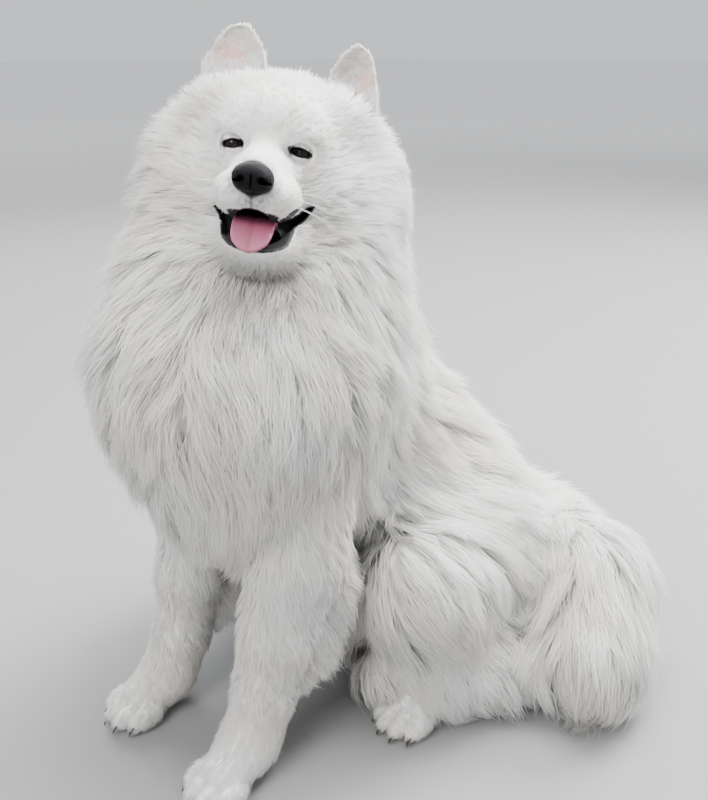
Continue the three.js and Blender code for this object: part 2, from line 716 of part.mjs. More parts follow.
for (const [name, side] of [["eye_left", 1], ["eye_right", -1]]) {
  const r = EYE_RADIUS;
  settleHead(name, [ball(eyeAt(side), vec(r, r, r), 10, 6)], []);
}
const noseSpine = [-9, -4.5, 0, 4.5, 9].map((x) => vec(NOSE_AT.x + x, NOSE_AT.y + 3, NOSE_AT.z));
settleHead("nose", [castSkin(noseField, noseSpine, 10, 3)], []);
settleHead("tongue", [tongue()], []);

const nape = behind(vec(0, 84, -30), vec(0, 0.8, -0.6));
const skull = castSkin(headField, HEAD_SPINE, 24, 3).intersect(nape);
const cheekLocks = locks(headCoat, CHEEK_ROWS, { length: 78, width: 60, seed: 7 });
const facings = ["eye_left", "eye_right", "nose", "tongue"].map((n) => cutters.get(n));
const sockets = cut(skull, [orbit(1), orbit(-1)]);
const wholeHead = joined([sockets, lids(1), lids(-1), ...cheekLocks]);
headPieces.set("head", largest(cut(wholeHead, [mouth(), ...facings])));
cutters.set("head", joined([skull, ...cheekLocks].map(grown)));
for (const [name, shape] of Object.entries(EARS)) settleHead(name, [ear(shape)], [cutters.get("head")]);

const HEAD_NODES = [...headPieces.keys()];
for (const name of HEAD_NODES) cutters.set(name, moved(cutters.get(name), headFrame));

// Trunk, parted by planes into neck, chest, back and rump
const trunk = fieldSolid(trunkCoat.core, vec(-210, -230, 0), vec(220, 400, 770), TRUNK_CELL);
const NECK_CUT = [vec(0, 0, 480), vec(0, 0.15, 1)];
const CHEST_CUT = [vec(0, 44, 400), vec(0, 1, 0.1)];
const RUMP_CUT = [vec(0, 150, 240), vec(0, 0.6, -0.8)];
const BELLY_CUT = [vec(0, -20, 226), vec(0, -0.3, 1)];

const LEVEL = vec(0, 0, 1);
const FACE_AXIS = vec(0, -1, 0).transformDirection(headFrame);
const ruffRow = (tilt, reach, count) => ({
  at: vec(2, 66, -22).applyMatrix4(headFrame),
  axis: FACE_AXIS,
  zero: vec(0, tilt, 1).transformDirection(headFrame),
  from: -reach,
  to: reach,
  count,
});
const levelRow = (x, y, z, zero, reach, count) => (
  { at: vec(x, y, z), axis: LEVEL, zero, from: -reach, to: reach, count }
);
const spineRow = (y, z, slope, reach, count) => {
  const axis = vec(0, slope, -1).normalize();
  return { at: vec(0, y, z), axis, zero: vec(0, 1, slope).normalize(), from: -reach, to: reach, count };
};
const FORWARDS = vec(0, -1, 0);
const BACKWARDS = vec(0, 1, 0);
const COATS = {
  neck: {
    rows: [
      ruffRow(-0.3, 150, 6),
      ruffRow(0.5, 140, 7),
      levelRow(-30, 12, 584, FORWARDS, 180, 7),
      levelRow(-28, 4, 512, FORWARDS, 180, 8),
    ],
    size: { length: 154, width: 102, seed: 11 },
  },
  chest: {
    rows: [
      levelRow(-18, -18, 436, FORWARDS, 100, 5),
      levelRow(-14, -26, 362, FORWARDS, 100, 5),
      levelRow(-12, -36, 292, FORWARDS, 84, 4),
    ],
    size: { length: 150, width: 96, seed: 21 },
  },
  back: {
    rows: [spineRow(84, 392, 0.7, 92, 4), spineRow(136, 316, 0.9, 96, 5)],
    size: { length: 150, width: 94, seed: 31 },
  },
  rump: {
    rows: [spineRow(186, 236, 0.7, 90, 4), spineRow(222, 150, 0.3, 84, 4)],
    size: { length: 150, width: 100, seed: 41 },
  },
};

// A trunk node: its length of the core with its own locks
function coated(name, length, skip) {
  const { rows, size } = COATS[name];
  return [length, ...locks(trunkCoat, rows, size, skip)];
}

const inFace = (p) => headField(p.clone().applyMatrix4(toHeadFrame)) < 4;
const below = trunk.intersect(behind(...NECK_CUT));
const hind = below.intersect(ahead(...CHEST_CUT));
const neckCore = trunk.intersect(ahead(...NECK_CUT));
settle("neck", coated("neck", neckCore, inFace), ["head", "ear_left", "ear_right"]);
const fore = below.intersect(behind(...CHEST_CUT));
settle("chest", coated("chest", fore.intersect(ahead(...BELLY_CUT))), ["neck", "head"]);
settle("belly", [fore.intersect(behind(...BELLY_CUT))], ["chest"]);
settle("back", coated("back", hind.intersect(behind(...RUMP_CUT))), ["neck", "chest", "belly"]);

// Limbs, alike on both sides
const SIDES = { left: (j) => j, right: (j) => onRight(j) };
const sign = { left: 1, right: -1 };
const FOOT_BACK = { left: 0, right: 16 }; // the right hind foot is drawn further back
const further = (side) => (j) => ({ at: j.at.clone().add(vec(0, FOOT_BACK[side], 0)), r: j.r });
const WRIST_CUT = [vec(0, -124, 66), vec(0, -0.3, 1)];
const FOREPAW_AT = [PAW_SPREAD + 2, -174];
const HINDPAW_AT = [HIND_SPREAD + 1, 50];
const HIP = vec(118, 170, 230);

// The thigh's hair fans out from the hip, down to a skirt on the ground
function thighCoat(side) {
  const place = SIDES[side];
  const haunch = chain(THIGH.map(place), 30);
  const skirt = chain(BREECHES.map(place).map(further(side)), 30);
  const hip = vec(sign[side] * HIP.x, HIP.y, HIP.z);
  return {
    outer: (p) => smoothMin(haunch(p), skirt(p), 30),
    core: (p) => smoothMin(haunch(p) + HALF_COAT, skirt(p) + HALF_COAT, 30),
    lie: (p) => p.clone().sub(hip).normalize().add(vec(0, 0.15, -0.9)),
  };
}

function foreleg(side) {
  const legJoints = FORELEG.map(SIDES[side]);
  const bones = chain(legJoints, 14);
  const feather = chain(FORELEG_FEATHER.map(SIDES[side]), 14);
  const coatHere = {
    outer: (p) => smoothMin(bones(p), feather(p), 14),
    core: bones,
    lie: () => vec(0, 0.3, -1),
  };
  const rows = [240, 190, 145, 105].map((z) => {
    const y = lerp(-130, -66, z / 250);
    return levelRow(sign[side] * PAW_SPREAD, y, z, BACKWARDS, 22, 1);
  });
  const leg = castSkin(bones, spineOf(legJoints, 6), 9, 2, vec(0, 1, 0));
  return [leg.intersect(ahead(...WRIST_CUT)), ...locks(coatHere, rows, { length: 92, width: 50, seed: 51 })];
}

const tailCoat = {
  outer: chain(TAIL, 24),
  core: (p) => chain(TAIL, 24)(p) + 34,
  lie: (p) => {
    const [near, along] = onTail(p);
    return along.add(p.clone().sub(near).normalize().multiplyScalar(0.1)).add(vec(0, 0, -0.5));
  },
};
const tailCurve = new THREE.CatmullRomCurve3(TAIL.map((j) => j.at));

// The tail's nearest point to p, and its direction there
function onTail(p) {
  const steps = Array.from({ length: 25 }, (_, i) => i / 24);
  const gap = (t) => tailCurve.getPoint(t).distanceTo(p);
  const best = steps.reduce((a, b) => (gap(b) < gap(a) ? b : a));
  return [tailCurve.getPoint(best), tailCurve.getTangent(best)];
}

const thighs = { left: thighCoat("left"), right: thighCoat("right") };
const inThigh = (p) => Math.min(thighs.left.core(p), thighs.right.core(p)) < -6;
const inLimb = (p) => inThigh(p) || tailCoat.core(p) < -6;
settle("rump", coated("rump", hind.intersect(ahead(...RUMP_CUT)), inLimb), ["chest", "belly", "back"]);

for (const side of ["left", "right"]) {
  const s = sign[side];
  const middle = [vec(s * 128, 170, 122), vec(s * 134, 128, 126), vec(s * 138, 92, 130)];
  const sideRow = (z, forwards, backwards, count, lift = 0) => ({
    at: vec(s * 136, 122, z),
    axis: LEVEL,
    zero: vec(s, 0, lift),
    from: s > 0 ? -forwards : -backwards,
    to: s > 0 ? backwards : forwards,
    count,
  });
  const rows = [
    sideRow(150, 100, 60, 2, 2),
    sideRow(190, 100, 90, 3),
    sideRow(128, 112, 112, 4),
    sideRow(70, 30, 112, 2),
  ];
  const core = castSkin(thighs[side].core, middle, 11, 2);
  const size = { length: 134, width: 98, seed: 61 };
  settle(`thigh_${side}`, [core, ...locks(thighs[side], rows, size)], ["chest", "belly", "back", "rump"]);
  settle(`foreleg_${side}`, foreleg(side), ["chest", "belly", "back", "rump", `thigh_${side}`]);
}

for (const [side, place] of Object.entries(SIDES)) {
  const s = sign[side];
  const front = paw(s * FOREPAW_AT[0], FOREPAW_AT[1], FORELEG.slice(3).map(place));
  const beyondWrist = behind(...WRIST_CUT);
  const paws = front.map((piece) => piece.intersect(beyondWrist));
  settle(`forepaw_${side}`, paws, [`foreleg_${side}`, `thigh_${side}`]);

  const hock = HOCK.map(place).map(further(side));
  const rear = paw(s * HINDPAW_AT[0], HINDPAW_AT[1] + FOOT_BACK[side], hock);
  settle(`hind_paw_${side}`, rear, [`thigh_${side}`, "rump", `foreleg_${side}`]);
}

// Tail, curled forward along the dog's left side in three lengths
const tail = castSkin(tailCoat.core, spineOf(TAIL, 6), 9, 2);
const TAIL_CUTS = [
  [vec(74, 340, 100), vec(1, 0.28, 0)],
  [vec(196, 320, 108), vec(0.86, -0.5, 0)],
];
const tailRow = (t, reach, count) => ({
  at: tailCurve.getPoint(t),
  axis: tailCurve.getTangent(t),
  zero: vec(tailCurve.getTangent(t).y, -tailCurve.getTangent(t).x, 0.6).normalize(),
  from: -reach,
  to: reach,
  count,
});
const TAIL_SIZE = { length: 148, width: 94, seed: 71 };
const beside = ["rump", "back", "thigh_left", "hind_paw_left"];
const lengths = {
  tail_root: [[tail.intersect(behind(...TAIL_CUTS[0]))], [tailRow(0.06, 100, 3)]],
  tail_middle: [
    [tail.intersect(ahead(...TAIL_CUTS[0])).intersect(behind(...TAIL_CUTS[1]))],
    [tailRow(0.24, 112, 3), tailRow(0.42, 116, 4)],
  ],
  tail_tip: [[tail.intersect(ahead(...TAIL_CUTS[1]))], [tailRow(0.62, 120, 4), tailRow(0.84, 120, 4)]],
};
const settledTail = [];
for (const [name, [core, rows]] of Object.entries(lengths)) {
  settle(name, [...core, ...locks(tailCoat, rows, TAIL_SIZE)], [...beside, ...settledTail]);
  settledTail.push(name);
}

// The scene: the head's pieces in a turned group, the rest beside it
const MATERIALS = {
  eye_left: eyeball,
  eye_right: eyeball,
  nose: leather,
  tongue: tongueSkin,
  head: shortCoat,
  ear_left: shortCoat,
  ear_right: shortCoat,
  forepaw_left: shortCoat,
  forepaw_right: shortCoat,
  hind_paw_left: shortCoat,
  hind_paw_right: shortCoat,
};

function node(name, solid) {
  const mesh = new THREE.Mesh(geometryOf(solid), MATERIALS[name] ?? coat);
  mesh.name = name;
  return mesh;
}

const headGroup = new THREE.Group();
headGroup.add(...HEAD_NODES.map((name) => node(name, headPieces.get(name))));
headGroup.applyMatrix4(headFrame);

const samoyed = new THREE.Group();
samoyed.add(headGroup, ...[...solids].map(([name, solid]) => node(name, solid)));

// The origin is the middle of the footprint, at ground level
samoyed.updateMatrixWorld(true);
const box = new THREE.Box3().setFromObject(samoyed, true);
const middle = box.getCenter(vec(0, 0, 0));
samoyed.position.set(-middle.x, -middle.y, -box.min.z);
samoyed.updateMatrixWorld(true);

export default samoyed;
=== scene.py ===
import math
from collections import namedtuple

import bpy
import numpy as np
from mathutils import Matrix, Vector


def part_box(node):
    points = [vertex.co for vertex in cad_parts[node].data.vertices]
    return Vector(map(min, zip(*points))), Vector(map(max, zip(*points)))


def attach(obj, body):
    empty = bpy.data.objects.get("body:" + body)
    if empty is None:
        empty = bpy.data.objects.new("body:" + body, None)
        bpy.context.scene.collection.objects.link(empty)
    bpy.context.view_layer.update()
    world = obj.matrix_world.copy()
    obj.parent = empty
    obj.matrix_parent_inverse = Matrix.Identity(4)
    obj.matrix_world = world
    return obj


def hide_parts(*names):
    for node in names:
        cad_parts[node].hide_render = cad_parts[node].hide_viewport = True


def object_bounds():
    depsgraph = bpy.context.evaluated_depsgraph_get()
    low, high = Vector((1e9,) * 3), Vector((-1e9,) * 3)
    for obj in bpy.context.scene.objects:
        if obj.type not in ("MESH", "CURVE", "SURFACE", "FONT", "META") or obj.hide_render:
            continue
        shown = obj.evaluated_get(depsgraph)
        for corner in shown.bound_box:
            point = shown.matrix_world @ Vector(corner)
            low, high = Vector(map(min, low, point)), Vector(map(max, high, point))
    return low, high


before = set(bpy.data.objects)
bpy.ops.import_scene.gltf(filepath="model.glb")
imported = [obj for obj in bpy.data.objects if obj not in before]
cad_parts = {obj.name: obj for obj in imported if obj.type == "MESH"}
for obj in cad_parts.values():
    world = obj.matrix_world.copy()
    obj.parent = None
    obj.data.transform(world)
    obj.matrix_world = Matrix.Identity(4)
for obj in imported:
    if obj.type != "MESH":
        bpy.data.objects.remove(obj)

CAD_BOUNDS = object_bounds()
SIDES = {1: "left", -1: "right"}

HEAD_AT = np.array([20, -32, 671.5])
HEAD_YAW = 43.5
HEAD_PITCH = 11
HEAD_ROLL = 7.5
EYE_AT = np.array([33, 5, 0])
EYE_RADIUS = 10.5
EYE_OPENING = np.array([9.4, 4.0])
EYE_TILT = 1.2
LID_REACH = 17
# The lids lie between these depths, and all in front of the first is muzzle
FACE_FRONT = -24
FACE_BACK = 12
MUZZLE_BEND = 4
NOSE_AT = np.array([MUZZLE_BEND, -92, -33])
NOSE_WIDTH = 36
PAW_SPREAD = 82
HIND_SPREAD = 156
CLAW_OVERHANG = 2.48

# How far the skin lies under the coat's outer surface
BODY_COAT = 30
TAIL_COAT = 36
LEG_COAT = 5
PAW_COAT = 1.5
FACE_GAP = 10  # and how far the trunk's skin stops behind its coat at the face

# The boxes of the body's and the head's skin, and how finely each part of it is meshed
BODY_BOX = (-262, -262, -13), (400, 430, 722)
HEAD_BOX = (-104, -112, -136), (112, 134, 92)
HEAD_CELL = 1.6
BODY_CELL = 6
PAW_CELL = 2.4
NOSE_CELL = 0.7


def turn(axis, degrees):
    return np.array(Matrix.Rotation(math.radians(degrees), 3, axis))


HEAD_TURN = turn("Z", HEAD_YAW) @ turn("X", -HEAD_PITCH) @ turn("Y", HEAD_ROLL)


def to_head(p):
    return (p - HEAD_AT) @ HEAD_TURN


def from_head(q):
    return q @ HEAD_TURN.T + HEAD_AT


SHIFT = np.mean(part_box("eye_left"), axis=0) - from_head(EYE_AT) / 1000


def to_world(p):
    return np.asarray(p, float) / 1000 + SHIFT


# Distance fields over arrays of points, negative inside

def smooth_min(a, b, k):
    h = np.maximum(k - np.abs(a - b), 0) / k
    return np.minimum(a, b) - h * h * k / 4


def smooth_max(a, b, k):
    return -smooth_min(-a, -b, k)


def joined(fields, blend):
    d = fields[0]
    for other in fields[1:]:
        d = smooth_min(d, other, blend)
    return d


def smoothstep(x, low, high):
    t = np.clip((x - low) / (high - low), 0, 1)
    return t * t * (3 - 2 * t)


def bell(x, width):
    """1 where x is 0, and less on both sides."""
    return np.exp(-(x / width) ** 2)


def unit(v):
    return v / np.maximum(np.linalg.norm(v, axis=-1, keepdims=True), 1e-9)


def dot(a, b):
    return np.sum(a * b, axis=-1, keepdims=True)


def cone(p, a, b, ra, rb):
    a, b = np.asarray(a, float), np.asarray(b, float)
    axis = b - a
    h = np.clip((p - a) @ axis / (axis @ axis), 0, 1)
    return np.linalg.norm(p - a - h[:, None] * axis, axis=1) - (ra + (rb - ra) * h)


def ellipsoid(p, c, r):
    r = np.asarray(r, float)
    q = (p - np.asarray(c, float)) / r
    k0 = np.linalg.norm(q, axis=1)
    k1 = np.linalg.norm(q / r, axis=1)
    return np.where(k1 > 1e-9, k0 * (k0 - 1) / np.maximum(k1, 1e-9), -r.min())


def mirrored(p, middle):
    q = p.copy()
    q[:, 0] = np.abs(q[:, 0] - middle)
    return q


def chain(joints, blend):
    def field(p):
        return joined([cone(p, a, b, ra, rb) for (a, ra), (b, rb) in zip(joints, joints[1:])], blend)
    return field


def gradient(field, p, e=0.5):
    out = np.empty_like(p)
    for axis in range(3):
        step = np.zeros(3)
        step[axis] = e
        out[:, axis] = field(p + step) - field(p - step)
    return unit(out)


def polygon_field(u, v, corners):
    d = np.full(u.shape, np.inf)
    inside = np.zeros(u.shape, bool)
    for (ax, ay), (bx, by) in zip(corners, np.roll(corners, -1, axis=0)):
        ex, ey = bx - ax, by - ay
        wx, wy = u - ax, v - ay
        t = np.clip((wx * ex + wy * ey) / (ex * ex + ey * ey), 0, 1)
        d = np.minimum(d, np.hypot(wx - ex * t, wy - ey * t))
        crosses = (ay > v) != (by > v)
        with np.errstate(divide="ignore", invalid="ignore"):
            left = u < (bx - ax) * (v - ay) / (by - ay) + ax
        inside ^= crosses & left
    return np.where(inside, -d, d)


# Body joints: centre and radius of the coat's outer surface

def joint(x, y, z, r):
    return np.array([x, y, z], float), r


def on_side(joints, side, back=0):
    return [(at * (side, 1, 1) + (0, back, 0), r) for at, r in joints]


NAPE = joint(-24, 30, 614, 98)
THROAT = joint(-28, 4, 524, 150)
BREAST = joint(-18, -38, 432, 168)
GIRTH = joint(-12, -36, 342, 146)
WITHERS = joint(0, 54, 428, 102)
LOIN = joint(0, 170, 258, 130)
CROUP = joint(0, 226, 160, 156)
BELLY = joint(8, 96, 134, 104)
TRUNK_BLEND = 45
RUFF = (62, 82, -20), (88, 72, 96)
# The plane behind the face, in the head's frame, that the trunk's coat stops at
FACE_PLANE_AT = (0, 50, 40)
FACE_PLANE_OUT = np.array([0, -0.855, 0.519])
FACE_PLANE_BLEND = 70
FRONT = chain([NAPE, THROAT, BREAST, GIRTH], TRUNK_BLEND)
BACK = chain([THROAT, WITHERS, LOIN, CROUP, BELLY], TRUNK_BLEND)

FORELEG = [
    joint(PAW_SPREAD - 2, -52, 320, 60),
    joint(PAW_SPREAD + 3, -66, 252, 56),
    joint(PAW_SPREAD, -94, 168, 43),
    joint(PAW_SPREAD - 2, -116, 88, 35),
    joint(PAW_SPREAD - 1, -138, 42, 31),
]
FEATHER = [joint(PAW_SPREAD + 2, -30, 196, 48), joint(PAW_SPREAD, -54, 108, 36)]
THIGH = [joint(108, 190, 148, 112), joint(146, 76, 180, 84), joint(148, 130, 66, 62)]
BREECHES = [joint(114, 50, 50, 60), joint(160, 120, 46, 72), joint(204, 176, 46, 66)]
HOCK = [joint(HIND_SPREAD - 6, 124, 44, 42), joint(HIND_SPREAD - 2, 84, 32, 32)]
TAIL = [joint(20, 326, 92, 62), joint(124, 352, 112, 92), joint(224, 306, 106, 102), joint(288, 232, 68, 84)]
LEG_BLEND = 14
THIGH_BLEND = 30
TAIL_BLEND = 24
TOE_SPREAD = (-27, -9.5, 9.5, 27)
RIGHT_FOOT_BACK = 16
FOOT_BACK = {1: 0, -1: RIGHT_FOOT_BACK}
FEET = {
    ("fore", s): (s * (PAW_SPREAD + 2), -174) for s in SIDES
} | {
    ("hind", s): (s * (HIND_SPREAD + 1), 50 + FOOT_BACK[s]) for s in SIDES
}


def toe_reach(spread):
    return 38 if abs(spread) > 20 else 49


# The head's forms in its own frame, whose origin is midway between the eyes, with -Y forwards and +X the
# dog's left: centre and half sizes, or both ends and radii. Those off the middle come in pairs.
SKULL = (4, 52, 12), (70, 70, 66)
FOREHEAD = (0, 6, 20), (48, 27, 30)
CHEEK = (46, 46, -40), (50, 54, 54)
EAR_BASE = (54, 60, 38), (36, 34, 30)
MUZZLE = (1, -4, -29), (MUZZLE_BEND, -68, -39), 36, 25
BRIDGE = (0, 0, -7), (MUZZLE_BEND, -84, -25), 16, 11
FLEW = (20, -54, -46), (21, 34, 21)
BROW = (31, -4, 17), (18, 13, 8)
EYE_HOLLOW = (33, -21, -3), (15, 13, 9)
JAW = (2, 30, -84), (5, -18, -84), 40, 33
CHIN = (7, -46, -91), (32, 34, 17)
JAW_SIDE = (18, 22, -78), (14, -36, -88), 38, 19
MOUTH_FLOOR = (3, 4, -66), (6, -52, -78), 32, 20


def head_field(q):
    side = mirrored(q, 2)
    d = ellipsoid(q, *SKULL)
    for form, blend in ((FOREHEAD, 24), (CHEEK, 26), (EAR_BASE, 20)):
        d = smooth_min(d, ellipsoid(side, *form), blend)
    d = smooth_min(d, cone(q, *MUZZLE), 14)
    d = smooth_min(d, cone(q, *BRIDGE), 12)
    d = smooth_min(d, ellipsoid(mirrored(q, MUZZLE_BEND), *FLEW), 9)
    d = smooth_min(d, ellipsoid(side, *BROW), 8)
    d = smooth_max(d, -ellipsoid(side, *EYE_HOLLOW), 7)
    jaw = joined([cone(q, *JAW), ellipsoid(q, *CHIN), cone(mirrored(q, 4), *JAW_SIDE)], 12)
    return smooth_min(smooth_min(d, jaw, 7), cone(q, *MOUTH_FLOOR), 8)


# The mouth from the side, (y, z): the upper lip from the corner forwards, then the lower lip back
UPPER_LIP = [(-22, -62), (-30, -64), (-40, -66.5), (-52, -68.5), (-66, -67), (-84, -61)]
LOWER_LIP = [(-84, -98), (-68, -91), (-54, -86), (-40, -79.5), (-30, -73)]
MOUTH_SIDE = np.array([*UPPER_LIP, (-130, -55), (-130, -101), *LOWER_LIP])
MOUTH_HALF = 50
# The smile from the front: distance from the middle, height and half its width, out to the corner
SMILE = np.array([
    (22, -78, 8), (30, -72, 5), (37, -65.5, 3.2), (42, -59.5, 2.8), (46.5, -54, 2), (52, -47, 0.8),
])
SMILE_DEPTH = 13
RIGHT_CORNER = -61  # the smile ends lower on the dog's right


def smile_field(q):
    """A groove that carries the mouth back over the cheek on each side."""
    u = np.abs(q[:, 0] - 0.5)
    d = np.full(len(q), np.inf)
    for (ax, az, ar), (bx, bz, br) in zip(SMILE, SMILE[1:]):
        ex, ez = bx - ax, bz - az
        t = np.clip(((u - ax) * ex + (q[:, 2] - az) * ez) / (ex * ex + ez * ez), 0, 1)
        d = np.minimum(d, np.hypot(u - ax - t * ex, q[:, 2] - az - t * ez) - ar - (br - ar) * t)
    d = np.where(q[:, 0] < 0.5, smooth_max(d, q[:, 2] - RIGHT_CORNER, 3), d)
    return np.maximum(np.maximum(d, q[:, 1] - 16), -head_field(q) - SMILE_DEPTH)


def mouth_field(q):
    width = np.abs(q[:, 0] - 1)
    wedge = np.maximum(polygon_field(q[:, 1], q[:, 2], MOUTH_SIDE), width - MOUTH_HALF)
    palate = ellipsoid(q, (4, -40, -63), (19, 44, 9))
    floor = ellipsoid(q, (6, -36, -84), (21, 40, 12))
    return np.minimum(np.minimum(wedge, smile_field(q)), np.minimum(palate, floor))


def face_depth(q):
    """How far the skin lies under the head's surface: the muzzle's coat is short and the crown's longer."""
    return 1.2 + 8 * smoothstep(q[:, 1], -20, 80)


def bare_head(q):
    return head_field(q) + face_depth(q)


def head_skin(q):
    mouth = mouth_field(q)
    outside = head_field(q)
    lips = 1.3 * np.exp(-(mouth / 2.6) ** 2 - (outside / 6) ** 2)
    d = smooth_max(outside + face_depth(q) - lips, -mouth, 1.4)
    eye = mirrored(q, 0) - EYE_AT
    orbit = np.maximum(ellipsoid(eye, (0, 0, 0), (13.5, 26, 12.5)), eye[:, 1])
    return smooth_max(d, -orbit, 1)


def nose_field(q):
    middle, front, height = NOSE_AT
    side = mirrored(q, middle)
    half = NOSE_WIDTH / 2
    d = ellipsoid(side, (0, front, height + 2), (half - 1, 12, 12))
    d = smooth_min(d, ellipsoid(side, (10, front - 1, height - 1), (half - 10, 10, 10)), 5)
    d = smooth_min(d, cone(side, (0, front + 2, height - 5), (0, -85, -45), 9, 5), 6)
    opening = ellipsoid(side, (9.2, front - 12, height - 2), (3.6, 8, 2.8))
    slit = ellipsoid(side, (14, front - 8, height - 3.5), (4.5, 6, 1.3))
    d = smooth_max(d, -smooth_min(opening, slit, 2), 1.2)
    groove = np.maximum(np.abs(side[:, 0]) - 0.5, q[:, 2] - (height + 2))
    return smooth_max(d, -np.maximum(groove, q[:, 1] - (front - 7)), 1.4)


# Trunk and limbs, in the dog's frame

def trunk(p, depth=0, face_gap=0):
    local = to_head(p)
    ruff = ellipsoid(mirrored(local, -2), *RUFF)
    whole = joined([FRONT(p), BACK(p), ruff], TRUNK_BLEND) + depth
    past_face = (local - FACE_PLANE_AT) @ FACE_PLANE_OUT + face_gap
    return smooth_max(whole, past_face, FACE_PLANE_BLEND)


def bare_trunk(p):
    return trunk(p, BODY_COAT, FACE_GAP)


def both(first, second, blend):
    return lambda p: smooth_min(first(p), second(p), blend)


def paw(x, y, pastern):
    ankle = chain([*pastern, joint(x, y, 22, 28)], 16)

    def field(p):
        d = ankle(p)
        for spread in TOE_SPREAD:
            c = (x + 0.93 * spread, y - toe_reach(spread) + 25, 15)
            toe = ellipsoid(p, c, (11.4, 25, 15))
            knuckle = ellipsoid(p, (c[0], c[1] - 2, 20), (9.5, 14, 12))
            d = smooth_min(d, smooth_min(toe, knuckle, 4), 3.5)
        return d
    return field


def pastern(kind, s):
    return on_side(FORELEG[3:], s) if kind == "fore" else on_side(HOCK, s, FOOT_BACK[s])


tail = chain(TAIL, TAIL_BLEND)
THIGHS = {
    s: both(chain(on_side(THIGH, s), THIGH_BLEND), chain(on_side(BREECHES, s, FOOT_BACK[s]), THIGH_BLEND),
            THIGH_BLEND) for s in SIDES
}
FORELEGS = {s: chain(on_side(FORELEG, s), LEG_BLEND) for s in SIDES}
FEATHERED = {s: both(FORELEGS[s], chain(on_side(FEATHER, s), LEG_BLEND), LEG_BLEND) for s in SIDES}
PAWS = [paw(*at, pastern(kind, s)) for (kind, s), at in FEET.items()]


def paws(p):
    return np.min([field(p) for field in PAWS], axis=0)


def paw_surface(p):
    return paws(p) - PAW_COAT


def paw_skin(field):
    return lambda p: np.maximum(field(p) + PAW_COAT, 0.8 - p[:, 2])


def body_parts(p):
    """The bare surface of each part of the body, apart from head and paws."""
    parts = {"trunk": bare_trunk(p)}
    for s, name in SIDES.items():
        parts["thigh_" + name] = THIGHS[s](p) + BODY_COAT
    for s, name in SIDES.items():
        parts["leg_" + name] = FORELEGS[s](p) + LEG_COAT
    parts["tail"] = tail(p) + TAIL_COAT
    return parts


def body_skin(p):
    return np.maximum(joined(list(body_parts(p).values()), 14), 1 - p[:, 2])


# Meshing

def fill_diagonals(values, cell):
    """Where only the diagonal corners of a grid square are inside, all four are put inside, so that no
    edge of the mesh gets four faces."""
    for _ in range(6):
        for a, b in ((0, 1), (1, 2), (0, 2)):
            grid = np.moveaxis(values, (a, b), (0, 1))
            corners = [grid[:-1, :-1], grid[1:, 1:], grid[1:, :-1], grid[:-1, 1:]]
            p, q, r, t = (c < 0 for c in corners)
            crossed = (p & q & ~r & ~t) | (r & t & ~p & ~q)
            for c in corners:
                c[crossed] = np.minimum(c[crossed], -0.01 * cell)


def finer(grid, times):
    for axis in range(3):
        grid = grid.repeat(times, axis)
    return grid


def polygonise(field, low, high, cell):
    """A closed mesh of a field: one vertex in each cell that the surface crosses, and a quad round each
    grid edge that changes sign. The field is worked out in full only near the surface."""
    low, high = np.asarray(low, float), np.asarray(high, float)
    block = 4
    blocks = np.ceil((high - low) / (cell * block)).astype(int) + 1
    axes = [low[i] + cell * block * np.arange(blocks[i] + 1) for i in range(3)]
    grid = np.stack(np.meshgrid(*axes, indexing="ij"), -1).reshape(-1, 3)
    coarse = field(grid).reshape(blocks + 1)
    near = np.abs(coarse) < 2.2 * block * cell
    corners = [(c & 1, (c >> 1) & 1, c >> 2) for c in range(8)]
    active = np.zeros(blocks, bool)
    for i, j, k in corners:
        active |= near[i:blocks[0] + i, j:blocks[1] + j, k:blocks[2] + k]
    n = blocks * block
    values = finer(coarse[:-1, :-1, :-1], block)
    wanted = np.argwhere(finer(active, block))
    for part in np.array_split(wanted, max(1, len(wanted) // 400000)):
        values[tuple(part.T)] = field(low + cell * part)

    fill_diagonals(values, cell)
    inside = values < 0
    lower = inside[:-1, :-1, :-1]
    split = np.zeros(lower.shape, bool)
    for i, j, k in corners[1:]:
        split |= inside[i:n[0] - 1 + i, j:n[1] - 1 + j, k:n[2] - 1 + k] != lower
    cells = np.argwhere(split)
    at = np.stack([values[tuple((cells + c).T)] for c in corners], 1)
    total = np.zeros((len(cells), 3))
    crossings = np.zeros(len(cells))
    for a in range(8):
        for bit in (1, 2, 4):
            b = a | bit
            if a == b:
                continue
            crossed = (at[:, a] < 0) != (at[:, b] < 0)
            t = np.where(crossed, at[:, a] / np.where(crossed, at[:, a] - at[:, b], 1), 0)[:, None]
            point = np.array(corners[a]) + t * (np.array(corners[b]) - np.array(corners[a]))
            total += np.where(crossed[:, None], point, 0)
            crossings += crossed
    verts = low + cell * (cells + total / crossings[:, None])
    miss = np.clip(field(verts), -cell / 3, cell / 3)
    verts -= gradient(field, verts, 0.2 * cell) * miss[:, None]

    index = np.full(lower.shape, -1)
    index[tuple(cells.T)] = np.arange(len(cells))
    quads = []
    step = np.eye(3, dtype=int)
    here = inside[tuple(slice(1, n[i] - 1) for i in range(3))]
    for axis in range(3):
        ahead = inside[tuple(slice(1 + step[axis][i], n[i] - 1 + step[axis][i]) for i in range(3))]
        edges = np.argwhere(here != ahead) + 1
        u, w = step[(axis + 1) % 3], step[(axis + 2) % 3]
        around = ((0, 0), (1, 0), (1, 1), (0, 1))
        ring = np.stack([index[tuple((edges - a * u - b * w).T)] for a, b in around], 1)
        starts_inside = inside[tuple(edges.T)]
        ring[~starts_inside] = ring[~starts_inside][:, ::-1]
        quads.append(ring)
    quads = np.concatenate(quads)
    return verts, np.concatenate([quads[:, [0, 1, 2]], quads[:, [0, 2, 3]]])


